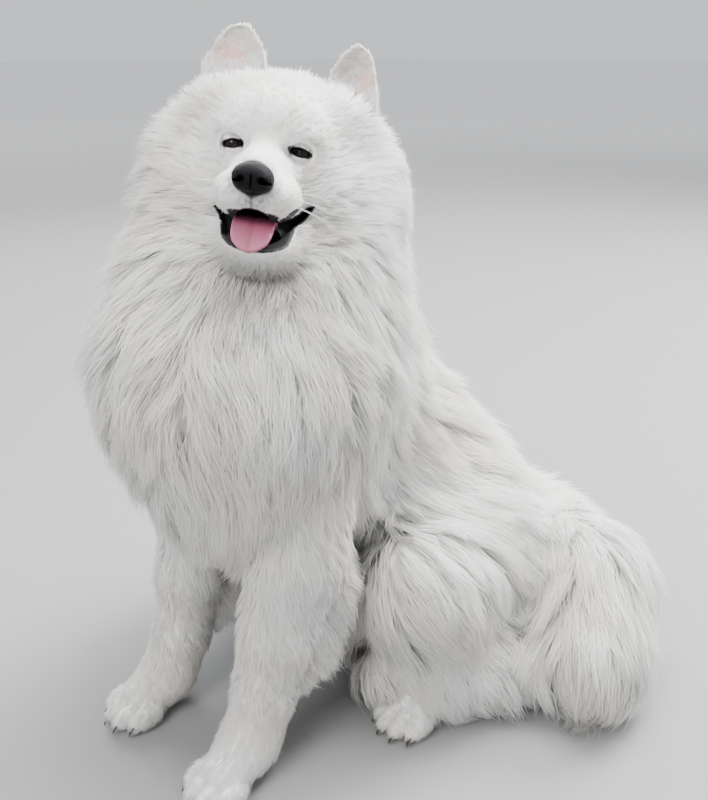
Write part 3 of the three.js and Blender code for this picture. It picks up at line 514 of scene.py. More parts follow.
def new_mesh(name, verts, tris, world=True):
    mesh = bpy.data.meshes.new(name)
    points = to_world(verts) if world else verts
    mesh.vertices.add(len(points))
    mesh.vertices.foreach_set("co", np.ascontiguousarray(points, dtype=np.float32).ravel())
    mesh.loops.add(3 * len(tris))
    mesh.loops.foreach_set("vertex_index", np.ascontiguousarray(tris, dtype=np.int32).ravel())
    mesh.polygons.add(len(tris))
    mesh.polygons.foreach_set("loop_start", np.arange(0, 3 * len(tris), 3, dtype=np.int32))
    mesh.update(calc_edges=True)
    mesh.shade_smooth()
    return mesh


def new_object(name, mesh, material=None, slot=None):
    obj = bpy.data.objects.new(name, mesh)
    bpy.context.scene.collection.objects.link(obj)
    if material:
        mesh.materials.clear()
        mesh.materials.append(material.data)
    if slot:
        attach(obj, "root")
    return obj


def paint(mesh, colours):
    layer = mesh.color_attributes.new("tint", "FLOAT_COLOR", "POINT")
    rgba = np.ones((len(mesh.vertices), 4), np.float32)
    rgba[:, :3] = colours
    layer.data.foreach_set("color", rgba.ravel())


def read(elements, name, width, kind=np.float32):
    """One property of all elements of a mesh."""
    flat = np.empty(width * len(elements), kind)
    elements.foreach_get(name, flat)
    return flat.reshape(-1, width)


def loft(rings, closed=False):
    """Triangles over a grid of rings of equal length. Open lofts get a fan over each end."""
    rings = np.asarray(rings, float)
    count, sides = rings.shape[:2]
    tris = []
    for r in range(count if closed else count - 1):
        a, b = r * sides, (r + 1) % count * sides
        for s in range(sides):
            t = (s + 1) % sides
            tris += [(a + s, a + t, b + t), (a + s, b + t, b + s)]
    if not closed:
        last = (count - 1) * sides
        for s in range(1, sides - 1):
            tris += [(0, s + 1, s), (last, last + s, last + s + 1)]
    verts = rings.reshape(-1, 3)
    tris = np.array(tris)
    a, b, c = (verts[tris[:, i]] for i in range(3))
    if np.sum(a * np.cross(b, c)) < 0:
        tris = tris[:, ::-1]
    return verts, tris


def circle(count):
    return np.arange(count) / count * 2 * math.pi


# The head's finer solids, in its own frame

def lids(side):
    """Both lids of one eye: a closed hoop over the eyeball round an almond opening."""
    steps = 64
    centre = EYE_AT * (side, 1, 1)
    t = circle(steps)
    height = EYE_OPENING[1] * np.sin(t) * (1 - 0.18 * np.cos(t) ** 2) - EYE_TILT * side * np.cos(t)
    edge = np.stack([EYE_OPENING[0] * np.cos(t), 0 * t, height], 1)
    outward = np.stack([np.cos(t), 0 * t, np.sin(t)], 1)
    rim = centre + LID_REACH * outward
    # The rim lies on the bare head, which is found from behind in finer and finer steps
    y = np.full(steps, 14.0)
    for step in (-4, -1, -0.25):
        probe = np.stack([rim[:, 0], y, rim[:, 2]], 1)
        for _ in range(16):
            inside = bare_head(probe + (0, step, 0)) < 0
            probe[inside, 1] += step
        y = probe[:, 1]
    rim_y = y + 0.4

    def on_ball(offset, height):
        flat = edge + outward * offset
        r = EYE_RADIUS + height
        drop = np.sqrt(np.maximum(r * r - flat[:, 0] ** 2 - flat[:, 2] ** 2, 1))
        return centre + flat - np.stack([0 * t, drop, 0 * t], 1)

    def between(share, lift):
        near = edge + outward * 1.6
        flat = near + (LID_REACH * outward - near) * share
        r = EYE_RADIUS + 2
        off = np.minimum(np.sum(flat[:, [0, 2]] ** 2, 1), r * r - 4)
        ball = centre[1] - np.sqrt(np.maximum(r * r - off, 1))
        s = share * share * (3 - 2 * share)
        depth = ball * (1 - s) + rim_y * s - lift
        return np.stack([centre[0] + flat[:, 0], depth, centre[2] + flat[:, 2]], 1)

    upper = np.maximum(np.sin(t), 0)
    sections = [on_ball(0, 0.35), on_ball(-0.1, 0.9), on_ball(0.5, 1.7)]
    for share, lift in ((0, 0.1), (0.2, 0.5 - 0.9 * upper), (0.4, 0.8), (0.6, 1), (0.8, 0.5), (1, 0)):
        sections.append(between(share, lift))
    behind = centre + LID_REACH * outward + (0, 6, 0)
    wall = centre + (EYE_RADIUS + 0.4) * outward
    too_near = behind[:, 1] < sections[-1][:, 1] + 3
    sections += [np.where(too_near[:, None], sections[-1] + (0, 4, 0), behind), wall + (0, 6, 0), wall]
    return loft(np.stack(sections, 1), closed=True)


# Each ear's inner corner, outer corner and tip, and its width along its height
EARS = {
    1: [np.array(v, float) for v in ((46, 62, 78), (96, 62, 42), (78, 74, 116))],
    -1: [np.array(v, float) for v in ((-20, 66, 82), (-84, 64, 60), (-56, 80, 123))],
}
EAR_THICKNESS = 6.5
EAR_PROFILE = np.array([(-0.8, 0.45), (-0.4, 0.75), (-0.05, 0.96), (0.18, 0.96), (0.42, 0.84), (0.64, 0.66),
                        (0.8, 0.5), (0.9, 0.36), (0.96, 0.2)])


def ear_axes(side):
    inner, outer, tip = EARS[side]
    base = (inner + outer) / 2
    across, up = outer - inner, tip - base
    back = unit(np.cross(up, across))
    return base, across, up, back if back[1] > 0 else -back


def ear(side):
    base, across, up, back = ear_axes(side)
    fine = np.concatenate([np.linspace(-0.8, 0.76, 24), np.linspace(0.79, 0.96, 12)])
    rings = []
    for at, w in zip(fine, np.interp(fine, *EAR_PROFILE.T)):
        s = np.linspace(-1, 1, 15)[:, None]
        lean = base * (-1, 0, 0) * (-0.4 * at if at < -0.1 else 0)
        cup = 13 * w * (1 - s * s) - 4
        front = base + up * at + lean + across * (s * w / 2) + back * cup
        thick = EAR_THICKNESS * np.sqrt(np.maximum(1 - s * s, 0.02))
        rear = (front + back * thick)[1:-1][::-1]
        rings.append(np.concatenate([front, rear]))
    return loft(rings)


def boolean_union(solids):
    objects = [new_object(f"solid_{i}", new_mesh(f"solid_{i}", v, t)) for i, (v, t) in enumerate(solids)]
    whole = objects[0]
    for other in objects[1:]:
        join = whole.modifiers.new("join", "BOOLEAN")
        join.operation = "UNION"
        join.solver = "MANIFOLD"
        join.object = other
    result = bpy.data.meshes.new_from_object(whole.evaluated_get(bpy.context.evaluated_depsgraph_get()))
    for obj in objects:
        mesh = obj.data
        bpy.data.objects.remove(obj)
        bpy.data.meshes.remove(mesh)
    return result


def placed(solid):
    verts, tris = solid
    return from_head(verts), tris


def make_skin():
    solids = [polygonise(body_skin, *BODY_BOX, BODY_CELL)]
    for (x, y), field in zip(FEET.values(), PAWS):
        low, high = (x - 64, y - 64, -5), (x + 64, y + 130, 144)
        solids.append(polygonise(paw_skin(field), low, high, PAW_CELL))
    solids.append(placed(polygonise(head_skin, *HEAD_BOX, HEAD_CELL)))
    for s in SIDES:
        solids += [placed(lids(s)), placed(ear(s))]
    return boolean_union(solids)


# Colours of the coat and the skin under it, as linear values

WHITE = np.array([0.965, 0.96, 0.95])
CREAM = np.array([0.92, 0.87, 0.78])
GREY = np.array([0.34, 0.33, 0.33])
BLACK = np.array([0.012, 0.011, 0.012])
MOUTH_DARK = np.array([0.10, 0.028, 0.03])
EAR_PINK = np.array([0.70, 0.41, 0.37])


def ripple(p, size, seed):
    """Smooth noise between -1 and 1 with features of about this size."""
    rng = np.random.default_rng(seed)
    total = 0
    for _ in range(5):
        direction = unit(rng.normal(size=3)) * 2 * math.pi / (size * rng.uniform(0.7, 1.6))
        total = total + np.sin(p @ direction + rng.uniform(0, 6.3))
    return total / 3


def ripples(p, sizes, seeds, strengths=(1, 1, 1)):
    return np.stack([k * ripple(p, size, seed) for size, seed, k in zip(sizes, seeds, strengths)], 1)


def mixed(a, b, share):
    share = np.clip(share, 0, 1)[:, None]
    return a * (1 - share) + b * share


def blob(p, centre, sizes):
    """1 at a place, and less away from it."""
    return np.exp(-np.sum(((p - centre) / sizes) ** 2, 1))


def coat_colour(p):
    q = to_head(p)
    colour = np.tile(WHITE, (len(p), 1))
    colour = mixed(colour, CREAM, 0.16 + 0.16 * ripple(p, 130, 5) + 0.10 * ripple(p, 38, 6))
    # Greyer fur round the base of the nose, partly its own grey hair and partly painted shade, then painted
    # shade above the upper lip
    nose_rim_grey_and_shade = bell(np.maximum(nose_field(q), 0), 5)
    colour = mixed(colour, GREY, 0.75 * nose_rim_grey_and_shade * (q[:, 1] < -50))
    lip_shade = blob(q, (MUZZLE_BEND, -84, -56), (15, 14, 10))
    colour = mixed(colour, GREY, 0.45 * lip_shade)
    # Painted shade: darker fur in the crease under the chin
    chin_crease_shade = blob(q, (6, -20, -118), (40, 40, 14))
    colour = mixed(colour, CREAM * 0.72, 0.55 * chin_crease_shade)
    # Painted shade: darker fur in the fold behind the near elbow
    elbow_fold_shade = blob(p, (96, 26, 262), (26, 44, 60))
    return mixed(colour, CREAM * 0.6, 0.5 * elbow_fold_shade)


def almond(q):
    """How far a point lies outside the opening of the nearer eye, seen from the front, in eye openings."""
    x = (np.abs(q[:, 0]) - EYE_AT[0]) / EYE_OPENING[0]
    return np.hypot(x, (q[:, 2] + EYE_TILT * x) / EYE_OPENING[1])


def on_lids(q):
    """Which points of the face lie on the lids or just beside them."""
    from_eye = np.hypot(np.abs(q[:, 0]) - EYE_AT[0], q[:, 2] - EYE_AT[2])
    return (from_eye < LID_REACH + 2) & (q[:, 1] < FACE_BACK) & (q[:, 1] > FACE_FRONT)


def on_ear(q):
    return (bare_head(q) > 1.6) & (q[:, 2] > 38) & (q[:, 1] > 30)


def skin_colour(p, normals):
    q = to_head(p)
    colour = coat_colour(p) * 0.93
    facing = normals @ HEAD_TURN
    for s in SIDES:
        base, _, up, back = ear_axes(s)
        in_ear = (bare_head(q) > 1.5) & (q[:, 0] > 0 if s > 0 else q[:, 0] < 30) & (q[:, 2] > 30)
        share = (q - base) @ up / (up @ up)
        hollow = 1 - 0.75 * smoothstep(share, 0.45, 0.9)
        colour = mixed(colour, EAR_PINK, in_ear * hollow * np.clip(-facing @ back * 1.5, 0, 1) * 0.9)
    at_mouth = smoothstep(2.4 - mouth_field(q), 0, 0.8) * (bare_head(q) < 2.5)
    colour = mixed(colour, MOUTH_DARK, at_mouth)
    colour = mixed(colour, BLACK, at_mouth * smoothstep(head_field(q), -19, -13))
    front_of_eye = (q[:, 1] < FACE_BACK - 2) & (q[:, 1] > FACE_FRONT)
    colour = mixed(colour, BLACK, smoothstep(1.32 - almond(q), 0, 0.1) * front_of_eye)
    philtrum = bell(q[:, 0] - MUZZLE_BEND, 1.1)
    philtrum = philtrum * (q[:, 2] < -44) * (q[:, 1] < -62) * (q[:, 2] > -66)
    colour = mixed(colour, BLACK, 0.8 * philtrum)
    under_nose = smoothstep(2.6 - nose_field(q), 0, 2)
    return mixed(colour, BLACK, under_nose)


# The lie of the coat: where the hair points, at each place

def trunk_lie(p):
    q = to_head(p)
    from_face = unit(np.stack([q[:, 0] - 2, np.full(len(q), 45.0), q[:, 2] + 20], 1)) @ HEAD_TURN.T
    backwards = smoothstep(p[:, 1], -20, 150)
    down = np.stack([0 * backwards, 0.8 * backwards, -np.ones(len(p))], 1)
    lie = down + 1.4 * from_face * smoothstep(p[:, 2], 500, 640)[:, None]
    flank = smoothstep(-p[:, 2], -400, -240) * smoothstep(p[:, 1], 20, 110)
    lie[:, 0] += 0.35 * flank * np.sign(p[:, 0])
    return lie + 0.38 * ripples(p, (95, 105, 60), (11, 12, 13), (1, 1, 0.5))


def thigh_lie(side):
    def lie(p):
        return (0.5 * side, 0.3, -1.0) + 0.28 * ripples(p, (60, 60), (21, 22)) @ np.eye(2, 3)
    return lie


TAIL_PATH = np.concatenate([
    a + (b - a) * np.linspace(0, 1, 12, endpoint=False)[:, None] for (a, _), (b, _) in zip(TAIL, TAIL[1:])
] + [TAIL[-1][0][None]])
TAIL_ALONG = unit(np.gradient(TAIL_PATH, axis=0))


def tail_lie(p):
    nearest = np.argmin(np.linalg.norm(p[:, None] - TAIL_PATH[None], axis=2), axis=1)
    away = unit(p - TAIL_PATH[nearest])
    along = 0.75 * TAIL_ALONG[nearest] + 0.35 * away + (0, 0, -0.75)
    return along + 0.25 * ripples(p, (70, 70, 70), (31, 32, 33))


def steady(*direction):
    return lambda p: np.tile(np.array(direction, float), (len(p), 1))


leg_lie = steady(0, 0.2, -1)


def paw_lie(p):
    """Down the wrist, then forward over the toes."""
    high = smoothstep(p[:, 2], 34, 72)[:, None]
    return unit((1 - high) * np.array([0, -1, -0.4]) + high * np.array([0, -0.2, -1]))


def head_lie(p):
    q = to_head(p)
    away = unit(q - (MUZZLE_BEND, -104, -38)) * (1, 1.1, 1)
    crown = smoothstep(q[:, 2], 30, 80)[:, None] * smoothstep(q[:, 1], 0, 60)[:, None]
    droop = smoothstep(q[:, 1], -10, 60)[:, None] * (0, 0, -0.35)
    from_eye = mirrored(q, 0) - EYE_AT
    from_eye[:, 0] *= np.where(q[:, 0] < 0, -1, 1)
    round_eye = 2.5 * bell(almond(q), 2.4)[:, None] * (q[:, 1:2] < 8)
    lie = away + droop * (1 - crown) + crown * (0, 0.2, 0.25) + round_eye * unit(from_eye * (1, 0.3, 1.6))
    lie += 0.16 * ripples(q, (34, 32, 30), (41, 43, 42), (1, 0, 1))
    return lie @ HEAD_TURN.T


# How long the hair is, at each place

def near_eye(q, fade):
    return bell(np.maximum(almond(q) - 1.2, 0), fade) * (q[:, 1] < FACE_BACK)


def head_length(p):
    q = to_head(p)
    length = 5 + 6 * smoothstep(q[:, 1], -60, -15) + 38 * smoothstep(q[:, 1], -10, 70)
    length += 30 * smoothstep(-q[:, 2], 88, 118) * smoothstep(q[:, 1], -62, -20)
    near_ruff = bell(np.maximum(bare_trunk(p), 0), 26)
    length += 34 * near_ruff * smoothstep(q[:, 1], -40, -5)
    length -= 14 * smoothstep(q[:, 2], 30, 70) * smoothstep(q[:, 1], 0, 40)
    length *= 0.35 + 0.65 * smoothstep(mouth_field(q), 3, 16)
    return length * (1 - 0.68 * near_eye(q, 1.6))


def muzzle_length(p):
    q = to_head(p)
    length = 5.5 + 2.5 * smoothstep(q[:, 1], -60, -20)
    return np.minimum(length * (1 - 0.25 * near_eye(q, 1.2)), 2.5 + 0.8 * np.maximum(mouth_field(q), 0))


def trunk_length(p):
    flank = smoothstep(-p[:, 2], -360, -290) * smoothstep(p[:, 1], -20, 30)
    return 86 + 18 * smoothstep(p[:, 1], 20, 120) + 26 * flank


def collar_length(p):
    """Shorter round the face, so that the ruff starts in layers."""
    return 46 + 34 * smoothstep(bare_head(to_head(p)), 4, 50)


def leg_length(p):
    return 19 + 15 * smoothstep(p[:, 2], 80, 300)


def paw_length(p):
    return 9.5 + 5 * smoothstep(p[:, 2], 34, 80)


def even(length):
    return lambda p: np.full(len(p), float(length))


# The outer surfaces that the coats reach

def head_surface(p):
    q = to_head(p)
    return smooth_min(head_field(q) - 9 * smoothstep(q[:, 1], 5, 80), trunk(p), 44)


def long_surface(p):
    """The surface that the long coat lies on, blended where trunk, thighs and tail meet."""
    return smooth_min(joined([trunk(p), THIGHS[1](p), THIGHS[-1](p)], 80), tail(p), 36)


# Each coat: its outer surface, lie and hair length, how far apart its tufts are, strands in a tuft, width
# of a strand, width of a tuft at root and tip, stations along a strand, how far tips stand out, and the
# size of its clumps and how tightly they close
Coat = namedtuple("Coat", "outer lie length spacing strands width spread stations flare clump closing")
COATS = {
    "trunk": Coat(long_surface, trunk_lie, trunk_length, 11.6, 28, 1.35, (9.5, 5), 4, 4, 38, 0.45),
    "collar": Coat(long_surface, trunk_lie, collar_length, 7.0, 15, 1.1, (6, 3.4), 4, 3, 26, 0.4),
    "thigh_left": Coat(long_surface, thigh_lie(1), even(88), 11.5, 26, 1.4, (8.5, 4.4), 4, 4, 36, 0.5),
    "thigh_right": Coat(long_surface, thigh_lie(-1), even(88), 13.0, 24, 1.6, (9, 4.4), 4, 2, 36, 0.5),
    "tail": Coat(long_surface, tail_lie, even(118), 12.0, 30, 1.4, (9.5, 5), 4, 5, 38, 0.45),
    **{
        "leg_" + side: Coat(FORELEGS[s], leg_lie, leg_length, 6.0, 10, 1.1, (4.2, 2.2), 3, 2, 17, 0.4)
        for s, side in SIDES.items()
    },
    "head": Coat(head_surface, head_lie, head_length, 4.1, 9, 0.85, (2.8, 1.8), 3, 1.5, 15, 0.2),
    "muzzle": Coat(head_surface, head_lie, muzzle_length, 2.7, 5, 0.6, (1.8, 1.3), 3, 0.8, 8, 0.15),
    "paw": Coat(paw_surface, paw_lie, paw_length, 4.0, 9, 0.62, (3.0, 2.2), 3, 0.8, 13, 0.1),
}
COLLAR_REACH = 55  # how far from the face the trunk's coat is the collar's
COARSER = 1
WIDER = 1


def labels_of(p):
    """Which coat grows at each point of the skin, and how far the point lies off that coat's own form."""
    parts = body_parts(p)
    parts["paw"] = paws(p) + PAW_COAT
    parts["head"] = head_skin(to_head(p))
    misses = np.abs(np.stack(list(parts.values())))
    labels = np.array(list(parts), dtype="U16")[np.argmin(misses, axis=0)]
    q = to_head(p)
    labels[(labels == "trunk") & (bare_head(q) < COLLAR_REACH) & (p[:, 1] < 60)] = "collar"
    beside_eye = almond(q) < 2.8
    short = (q[:, 1] < FACE_FRONT) | (beside_eye & (q[:, 1] < FACE_BACK))
    labels[(labels == "head") & short] = "muzzle"
    lid = on_lids(q) & (bare_head(q) > -7)
    labels[lid] = np.where(beside_eye[lid], "muzzle", "head")
    return labels, np.where(lid, 0, np.min(misses, axis=0))


def strands(guide, normal, across, spec, rng):
    """Tapered blades round each guide. Returns vertices, triangles, normals, blade coordinates and the
    tuft of each vertex."""
    count, width, spread, stations = spec
    tufts, steps = guide.shape[:2]
    n = tufts * count
    owner = np.repeat(np.arange(tufts), count)
    angle, radius = rng.uniform(0, 2 * math.pi, n), np.sqrt(rng.uniform(0, 1, n))
    u, v = radius * np.cos(angle), radius * np.sin(angle)
    reach = rng.uniform(0.66, 1.05, n)
    loose = np.where(rng.random(n) < 0.35, rng.uniform(1.4, 2.8, n), 1)
    wave, phase = rng.normal(0, 1, n), rng.uniform(0, 6.3, n)
    lift = rng.normal(0, 1, n)
    twist = rng.normal(0, 0.5, n)
    thickness = width * rng.uniform(0.75, 1.2, n)
    shares = np.linspace(0, 1, stations)
    widths = np.interp(shares, [0, 0.4, 0.75, 1], [0.8, 1, 0.7, 0])
    extent = np.linalg.norm(guide[owner, -1] - guide[owner, 0], axis=1)
    points, normals = [], []
    for share, w in zip(shares, widths):
        at = np.clip(share * reach, 0, 1) * (steps - 1)
        low = np.minimum(at.astype(int), steps - 2)
        f = (at - low)[:, None]
        centre, up, side = (a[owner, low] * (1 - f) + a[owner, low + 1] * f for a in (guide, normal, across))
        up, side = unit(up), unit(side)
        spread_here = spread[0] + (spread[1] * loose - spread[0]) * share ** 0.8
        swing = extent * share * (0.07 * wave * np.sin(phase + 5 * share) + 0.035 * (loose - 1) * wave)
        raised = v * spread_here * 0.5 + 0.016 * extent * share ** 2 * lift * loose
        centre = centre + side * (u * spread_here + swing)[:, None] + up * raised[:, None]
        face = side * np.cos(twist)[:, None] + up * np.sin(twist)[:, None]
        over = up * np.cos(twist)[:, None] - side * np.sin(twist)[:, None]
        soft = unit(up + 0.5 * over + 0.2 * side * u[:, None])
        if w == 0:
            points.append(centre[:, None])
            normals.append(soft[:, None])
            continue
        half = 0.5 * w * thickness[:, None] * face
        points.append(np.stack([centre - half, centre + half], 1))
        normals.append(np.stack([unit(soft - 0.5 * face), unit(soft + 0.5 * face)], 1))
    verts = np.concatenate(points, 1)
    per = verts.shape[1]
    pattern = []
    for a in range(0, per - 3, 2):
        pattern += [(a, a + 3, a + 1), (a, a + 2, a + 3)]
    pattern.append((per - 3, per - 1, per - 2))
    tris = (np.array(pattern)[None] + per * np.arange(n)[:, None, None]).reshape(-1, 3)
    share = np.append(np.repeat(shares[:-1], 2), 1)
    side = np.append(np.tile([-1, 1], stations - 1), 0)
    return (verts.reshape(-1, 3), tris, np.concatenate(normals, 1).reshape(-1, 3),
            np.tile(np.stack([side, share], 1), (n, 1)), np.repeat(owner, per))


def guides(outer, lie, root, length, overshoot, rng, steps=5):
    """Each tuft's middle line: it leaves the skin, bends over and lies along the coat's outer surface."""
    p = root.copy()
    depth = np.maximum(-outer(p), 0)
    sway = rng.normal(0, 0.26, len(p))
    path, ups, sides = [], [], []
    for k in range(steps):
        n = gradient(outer, p, 1.0)
        f = lie(p)
        f = unit(f - n * dot(f, n))
        side = np.cross(n, f)
        f = unit(f + side * (sway * k / steps)[:, None])
        path.append(p)
        ups.append(n)
        sides.append(np.cross(n, f))
        if k == steps - 1:
            break
        p = p + f * (length / (steps - 1))[:, None]
        rise = ((k + 1) / (steps - 1)) ** 0.85
        level = -depth * (1 - rise) + overshoot * rise ** 2
        for _ in range(2):
            miss = np.clip(outer(p) - level, -20, 20)
            p = p - gradient(outer, p, 1.0) * miss[:, None]
    return np.stack(path, 1), np.stack(ups, 1), np.stack(sides, 1)


def first_in_boxes(points, size, rng):
    """One point of each small box of space."""
    box = np.floor(points / size + rng.random(3)).astype(int)
    _, first = np.unique(box, axis=0, return_index=True)
    return np.sort(first)


def clumped(guide, ups, size, amount, lift, rng):
    """Draws the tufts' tips together into clumps of about this size, some of which stand out more."""
    roots = guide[:, 0]
    seeds = first_in_boxes(roots, size, rng)
    nearest = np.empty(len(roots), int)
    for part in np.array_split(np.arange(len(roots)), max(1, len(roots) // 2000)):
        gap = np.linalg.norm(roots[part][:, None] - roots[seeds][None], axis=2)
        nearest[part] = np.argmin(gap, axis=1)
    share = np.linspace(0, 1, guide.shape[1])[None, :, None]
    weight = amount * share ** 1.2
    rise = lift * np.clip(rng.normal(0, 1, len(seeds)), -1, 2)[nearest]
    return guide * (1 - weight) + guide[seeds[nearest]] * weight + ups * rise[:, None, None] * share ** 1.5


POINTS_TRIED = 3.0  # random points for each tuft's worth of skin, of which one is kept


def sample(chosen, spacing, rng):
    """Points spread evenly over the chosen triangles of the skin, with their normals and UV places."""
    tris, uvs = skin_tris[chosen], skin_uvs[chosen]
    spacing = spacing * COARSER
    a, b, c = (skin_verts[tris[:, i]] for i in range(3))
    cross = np.cross(b - a, c - a)
    area = np.linalg.norm(cross, axis=1) / 2
    count = int(POINTS_TRIED * area.sum() / spacing ** 2)
    pick = rng.choice(len(tris), count, p=area / area.sum())
    r, s = rng.random((2, count))
    flip = r + s > 1
    r, s = np.where(flip, 1 - r, r), np.where(flip, 1 - s, s)
    weights = np.stack([1 - r - s, r, s], 1)
    points = np.einsum("nk,nkj->nj", weights, skin_verts[tris[pick]])
    places = np.einsum("nk,nkj->nj", weights, uvs[pick])
    first = first_in_boxes(points, spacing, rng)
    return points[first], unit(cross[pick[first]]), places[first]


CROSSING_HAIR = 0.015  # the share of the tufts at the corners of the mouth that cross it


def over_face(guide, rng):
    """Which tufts hang over an eye or the mouth."""
    count, steps = guide.shape[:2]
    q = to_head(guide.reshape(-1, 3))
    over_mouth = (mouth_field(q) < 0.8) & (q[:, 1] < FACE_BACK)
    over_eye = (almond(q) < 1.18) & (q[:, 1] < FACE_BACK - 2)
    over_mouth, over_eye = (over.reshape(count, steps).any(1) for over in (over_mouth, over_eye))
    return over_eye | (over_mouth & (rng.random(count) < 1 - CROSSING_HAIR))


UV_PATCH = 0.003
STRAY = 24  # how far single hairs may stand out of the solids' box
BEYOND = 0.15  # how much of any hair past that is left
LOWEST = (np.array(CAD_BOUNDS[0]) - SHIFT) * 1000 - (STRAY, STRAY, 0)
HIGHEST = (np.array(CAD_BOUNDS[1]) - SHIFT) * 1000 + STRAY


def coat_piece(name, slot, parts):
    """One joined mesh of tufts, with soft normals, a tint and the OFBake map."""
    columns = [[], [], [], [], [], []]
    offset = 0
    for (v, t, n, c, owner), root, place in parts:
        for column, part in zip(columns, (v, t + offset, n, c, place[owner], root[owner])):
            column.append(part)
        offset += len(v)
    verts, tris, normals, coords, places, roots = (np.concatenate(column) for column in columns)
    floor = 0.7 + 0.5 * (coords[:, 0] + 1)
    verts[:, 2] = np.maximum(verts[:, 2], floor)
    verts = np.where(verts < LOWEST, LOWEST + BEYOND * (verts - LOWEST), verts)
    verts = np.where(verts > HIGHEST, HIGHEST + BEYOND * (verts - HIGHEST), verts)
    mesh = new_mesh(name, verts, tris)
    # Painted shade: each strand darker towards its root, where the coat shades itself
    shade = 0.93 + 0.07 * smoothstep(coords[:, 1], 0, 0.6)
    paint(mesh, coat_colour(roots) * shade[:, None])
    layer = mesh.uv_layers.new(name="OFBake")
    uv = np.clip(places + UV_PATCH * (coords - (0, 0.5)) * (0.5, 1), 0, 1)
    layer.data.foreach_set("uv", uv[tris.ravel()].astype(np.float32).ravel())
    mesh.normals_split_custom_set_from_vertices(normals.astype(np.float32))
    new_object(name, mesh, FUR, slot)


# Materials, all procedural

class Material:
    """A node material round a Principled shader. An underscore in a setting stands for a space."""

    def __init__(self, name, roughness, **settings):
        self.data = bpy.data.materials.new(name)
        self.data.use_nodes = True
        self.nodes = self.data.node_tree.nodes
        self.link = self.data.node_tree.links.new
        self.shader = self.nodes["Principled BSDF"]
        self.shader.inputs["Roughness"].default_value = roughness
        for socket, value in settings.items():
            self.shader.inputs[socket.replace("_", " ")].default_value = value

    def node(self, kind, **settings):
        made = self.nodes.new("ShaderNode" + kind)
        for key, value in settings.items():
            socket = key.replace("_", " ")
            if socket in made.inputs:
                made.inputs[socket].default_value = value
            else:
                setattr(made, key, value)
        return made

    def tinted(self, scale, amount):
        """The painted tint, broken up by a fine noise."""
        tint = self.node("Attribute", attribute_name="tint")
        noise = self.node("TexNoise", Scale=scale, Detail=3)
        spread = self.node("MapRange", To_Min=1 - amount, To_Max=1)
        self.link(noise.outputs["Fac"], spread.inputs["Value"])
        mix = self.node("VectorMath", operation="SCALE")
        self.link(tint.outputs["Color"], mix.inputs[0])
        self.link(spread.outputs["Result"], mix.inputs["Scale"])
        self.link(mix.outputs["Vector"], self.shader.inputs["Base Color"])
        return mix.outputs["Vector"]

    def shaded(self, source, dark, pale):
        """The base colour between two shades."""
        shades = self.node("ValToRGB")
        for element, colour in zip(shades.color_ramp.elements, (dark, pale)):
            element.color = (*colour, 1)
        self.link(source, shades.inputs["Fac"])
        self.link(shades.outputs["Color"], self.shader.inputs["Base Color"])

    def grained(self, source, strength, distance):
        bump = self.node("Bump", Strength=strength, Distance=distance)
        self.link(source, bump.inputs["Height"])
        self.link(bump.outputs["Normal"], self.shader.inputs["Normal"])


def coat_material():
    coat = Material("coat", 0.7, Sheen_Weight=0.3, Sheen_Roughness=0.6, Specular_IOR_Level=0.25)
    through = coat.node("BsdfTranslucent")
    coat.link(coat.tinted(90, 0.05), through.inputs["Color"])
    blend = coat.node("MixShader", Fac=0.5)
    coat.link(coat.shader.outputs["BSDF"], blend.inputs[1])
    coat.link(through.outputs["BSDF"], blend.inputs[2])
    coat.link(blend.outputs["Shader"], coat.nodes["Material Output"].inputs["Surface"])
    return coat


def skin_material():
    mat = Material("skin", 0.6, Specular_IOR_Level=0.3)
    mat.tinted(160, 0.12)
    mat.grained(mat.node("TexNoise", Scale=900, Detail=4).outputs["Fac"], 0.35, 0.0006)
    return mat


# The skin

FUR = coat_material()
skin_mesh = make_skin()
skin = new_object("skin", skin_mesh, skin_material(), "short_coat")
skin_mesh.uv_layers.new(name="OFBake")
bpy.context.view_layer.objects.active = skin
skin.select_set(True)
bpy.ops.object.mode_set(mode="EDIT")
bpy.ops.mesh.select_all(action="SELECT")
bpy.ops.uv.smart_project(angle_limit=math.radians(75), island_margin=0.0)
bpy.ops.object.mode_set(mode="OBJECT")
skin_mesh.shade_smooth()
FLESH = [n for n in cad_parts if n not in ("eye_left", "eye_right", "nose", "tongue")]
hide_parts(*FLESH)

skin_mesh.calc_loop_triangles()
skin_verts = (read(skin_mesh.vertices, "co", 3).astype(float) - SHIFT) * 1000
skin_tris = read(skin_mesh.loop_triangles, "vertices", 3, np.int32)
skin_loops = read(skin_mesh.loop_triangles, "loops", 3, np.int32)
skin_uvs = read(skin_mesh.uv_layers["OFBake"].data, "uv", 2)[skin_loops].astype(float)
paint(skin_mesh, skin_colour(skin_verts, read(skin_mesh.vertex_normals, "vector", 3).astype(float)))

centres = skin_verts[skin_tris].mean(1)
tri_label, tri_miss = labels_of(centres)
on_surface = tri_miss < 5


# The coat

def pieces_of(name, points):
    """Splits the coats of the trunk, head and tail into joined pieces of a moderate size."""
    left = np.where(points[:, 0] > -10, "left", "right")
    if name == "trunk":
        part = np.select(
            [points[:, 2] > 545, (points[:, 2] > 440) & (points[:, 1] < 60), points[:, 1] < 50],
            ["ruff", "mane", "chest"], "back")
        return np.char.add(np.char.add(part.astype(str), "_"), left)
    if name == "tail":
        return np.where(points[:, 0] > 150, "tail_tip", "tail_root")
    if name == "collar":
        return np.char.add("collar_", left)
    if name == "head":
        return np.where(to_head(points)[:, 1] < 6, "face", "cheeks")
    return np.full(len(points), name)


def part_of(made, points, places, chosen):
    """The strands of the chosen tufts."""
    verts, tris, normals, coords, owner = made
    kept = chosen[owner]
    number = np.cumsum(kept) - 1
    tufts = np.cumsum(chosen) - 1
    return ((verts[kept], number[tris[kept[tris[:, 0]]]], normals[kept], coords[kept], tufts[owner[kept]]),
            points[chosen], places[chosen])


